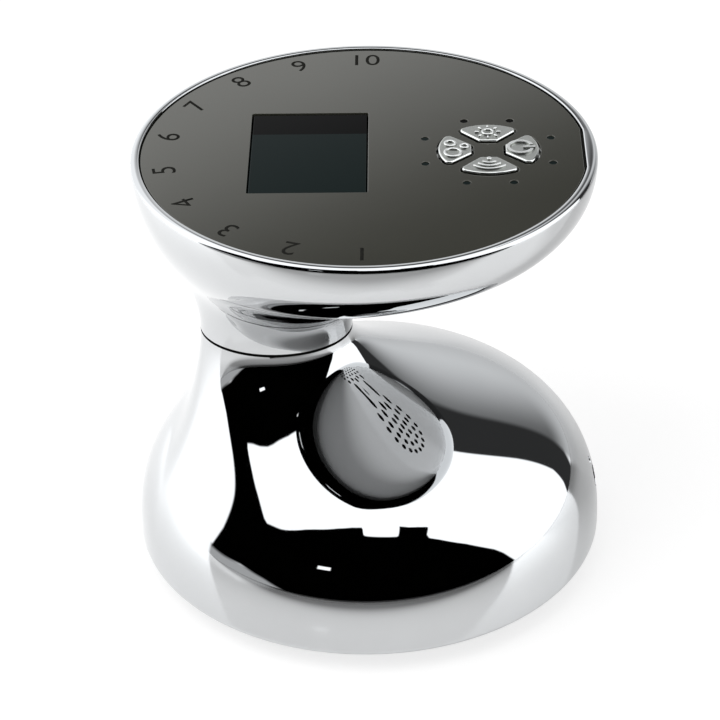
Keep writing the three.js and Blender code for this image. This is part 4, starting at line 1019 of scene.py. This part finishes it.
glint = {"from": -26.4, "to": -19.6, "soft": 0.4, "lowRise": 27.1, "topRise": 30.1, "riseSoft": 0.3}


# A boundary given by [degrees, degrees] pairs
def boundary(value, pairs):
    bends = [(rise / 180 + 0.5, turn / 360 + 0.5) for rise, turn in pairs]
    return (Wire.node("FloatCurve", {"bends": bends}, {"Value": value * (1 / 180) + 0.5}) - 0.5) * 360


# The same for a boundary that runs across, from turn to rise
def acrossTo(value, pairs):
    return boundary(value * 0.5, [(turn / 2, rise) for turn, rise in pairs])


world = newTree(bpy.data.worlds.new("studioLight"))
bpy.context.scene.world = world
x, y, z = spread(Wire.node("TexCoord", output=0))
degree = 180 / math.pi
turn = Wire.maths("ARCTAN2", x, 0 - y) * degree
rise = Wire.maths("ARCSINE", z) * degree


# Softly 1 over the turns that a card takes up
def acrossCard(card):
    return between(turn, card["from"], card["to"], card["soft"])


# Softly 1 below a card's top
def underTop(card):
    return 1 - rising(rise, card["topRise"] - card["topSoft"], card["topRise"] + card["topSoft"])


edge = studio["cardEdge"]
cloth = (rising(turn - boundary(rise, blackCloth["left"]), -edge, edge)
         * rising(boundary(rise, blackCloth["right"]) - turn, -edge, edge)
         * rising(acrossTo(turn, blackCloth["top"]) - rise, -edge, edge)
         * rising(rise - acrossTo(turn, blackCloth["low"]), -blackCloth["lowSoft"], blackCloth["lowSoft"]))
band = (rising(turn - boundary(rise, darkBand["left"]), -edge, edge)
        * rising(boundary(rise, darkBand["right"]) - turn, darkBand["rightFrom"], darkBand["rightTo"]))
backdrop = greyBackdrop["dark"] + (greyBackdrop["light"] - greyBackdrop["dark"]) * rising(
    turn, greyBackdrop["lightFrom"], greyBackdrop["lightTo"])
backdrop = backdrop + (1 - rising(rise, greyBackdrop["levelFrom"], greyBackdrop["levelTo"])) * (
    greyBackdrop["level"] - backdrop)
farBackdrop = farFade["bright"] + (farFade["dim"] - farFade["bright"]) * rising(
    rise + farFade["lean"] * degree * Wire.maths("ARCTAN2", x, y), farFade["brightRise"], farFade["dimRise"])
farShare = rising(
    Wire.maths("ABSOLUTE", turn), farFade["from"] - farFade["soft"], farFade["from"] + farFade["soft"])
# Each card covers those that come before it
shade = studio["mirrorWhite"]
for share, value in (
        (acrossCard(tableEdge) * underTop(tableEdge), tableEdge["shade"]),
        (acrossCard(backLeft) * underTop(backLeft), backLeft["shade"]),
        (acrossCard(greyBackdrop) * underTop(greyBackdrop), backdrop),
        (farShare * underTop(greyBackdrop), farBackdrop),
        (band * underTop(darkBand), darkBand["shade"]),
        (cloth, blackCloth["shade"]),
        (acrossCard(glint) * between(rise, glint["lowRise"], glint["topRise"], glint["riseSoft"]),
         studio["mirrorWhite"])):
    shade = shade + share * (value - shade)
mirrored = Wire.node("Background", inputs={"Color": studio["mirrorTint"], "Strength": shade})
plain = Wire.node("Background", inputs={"Color": (1, 1, 1), "Strength": studio["matteLight"]})
seen = Wire.node("Background", inputs={"Color": (1, 1, 1), "Strength": 1.0})
isMirror = Wire.node("LightPath", output=3)
isCamera = Wire.node("LightPath", output=0)
Wire.node("OutputWorld", inputs={"Surface": mixed(isCamera, mixed(isMirror, plain, mirrored), seen)})

# For mirrors the floor carries painted light: a glow near the front, and a darker colour further out as
# painted shade
floor = {
    "size": 6000, "drop": 0.2, "near": (0.88, 0.88, 0.88), "far": (0.12, 0.12, 0.12), "polish": 0.12,
    "haze": 0.03, "hazeCloud": 60, "ior": 1.6, "slant": 0.12, "nearFrom": -200, "nearTo": -90,
    "farFrom": -900, "farTo": -350, "middleShare": 0.55, "glow": (0.45, 0.453, 0.455), "frontGlow": 0.55,
    "leftFrom": -100, "leftTo": -250, "backFrom": -30, "backTo": 30, "rightFrom": -100, "rightTo": 20,
    "toCamera": (0.82, 0.82, 0.82), "whiteShare": 0.55, "white": 1.24,
}
deselectAll()
bpy.ops.mesh.primitive_plane_add(size=floor["size"] * mm, location=(0, 0, -floor["drop"] * mm))
studioFloor = bakePlace(named("studioFloor"))


# Half gloss to everything but the camera, and darker further out in front, as painted shade where the light
# falls off there; near the front it glows with painted light.
# To the camera it is matte and as white as the backdrop.
def floorSurface():
    x, y = spread(objectPlace())[:2]

    def shareOf(value, kind):
        return rising(value, floor[kind + "From"] * mm, floor[kind + "To"] * mm)

    inFront = y + floor["slant"] * Wire.maths("ABSOLUTE", x)
    near = shareOf(inFront, "near")
    notBackRight = 1 - shareOf(y, "back") * shareOf(x, "right")
    # Painted light: the floor glows in front of the object, more to the left, and not at the back right
    paintedLightShare = near * notBackRight * (floor["frontGlow"] + (1 - floor["frontGlow"]) * shareOf(x, "left"))
    lightShare = floor["middleShare"] * shareOf(inFront, "far") + (1 - floor["middleShare"]) * near
    glossy = surface(blend(lightShare, floor["far"], floor["near"]), polish(floor), ior=floor["ior"],
                     glow=blend(paintedLightShare, (0, 0, 0), floor["glow"]), glowStrength=1.0)
    matte = Wire.node("BsdfDiffuse", inputs={"Color": floor["toCamera"]})
    white = Wire.node("Emission", inputs={"Color": (1, 1, 1), "Strength": floor["white"]})
    toCamera = mixed(floor["whiteShare"], matte, white)
    return mixed(Wire.node("LightPath", output=0), glossy, toCamera)


wear(studioFloor, finish("studioFloor", floorSurface))

softbox = {"place": (-420, -260, 760), "aim": (0, 0, 60), "size": 700, "watts": 3.0}
deselectAll()
bpy.ops.object.light_add(type="AREA", location=Vector(softbox["place"]) * mm)
lamp = bpy.context.object
lamp.name = "softbox"
lamp.data.shape, lamp.data.size = "DISK", softbox["size"] * mm
lamp.data.energy = softbox["watts"]
beam = Vector(softbox["aim"]) - Vector(softbox["place"])
lamp.rotation_euler = beam.to_track_quat("-Z", "Y").to_euler()
lamp.visible_glossy = False
print("studio lit")

cameraFacts = {"place": (8.444, -571.892, 418.16), "pitch": 0.5728302, "roll": 0.0182580,
               "turn": -0.0175934, "lens": 145.0, "sensor": 36, "clipFrom": 10, "clipTo": 50000}
cosTurn, sinTurn = math.cos(cameraFacts["turn"]), math.sin(cameraFacts["turn"])
cosPitch, sinPitch = math.cos(cameraFacts["pitch"]), math.sin(cameraFacts["pitch"])
cosRoll, sinRoll = math.cos(cameraFacts["roll"]), math.sin(cameraFacts["roll"])
forward = Vector((sinTurn * cosPitch, cosTurn * cosPitch, -sinPitch))
levelRight = Vector((cosTurn, -sinTurn, 0))
levelUp = Vector((sinTurn * sinPitch, cosTurn * sinPitch, cosPitch))
right = levelRight * cosRoll - levelUp * sinRoll
up = levelRight * sinRoll + levelUp * cosRoll
deselectAll()
bpy.ops.object.camera_add()
camera = bpy.context.object
camera.data.lens = cameraFacts["lens"]
camera.data.sensor_width = cameraFacts["sensor"]
camera.data.clip_start, camera.data.clip_end = cameraFacts["clipFrom"] * mm, cameraFacts["clipTo"] * mm
camera.matrix_world = Matrix.Translation(Vector(cameraFacts["place"]) * mm) @ Matrix(
    (right, up, -forward)).transposed().to_4x4()
bpy.context.scene.camera = camera
bpy.context.scene.view_settings.view_transform = "Standard"
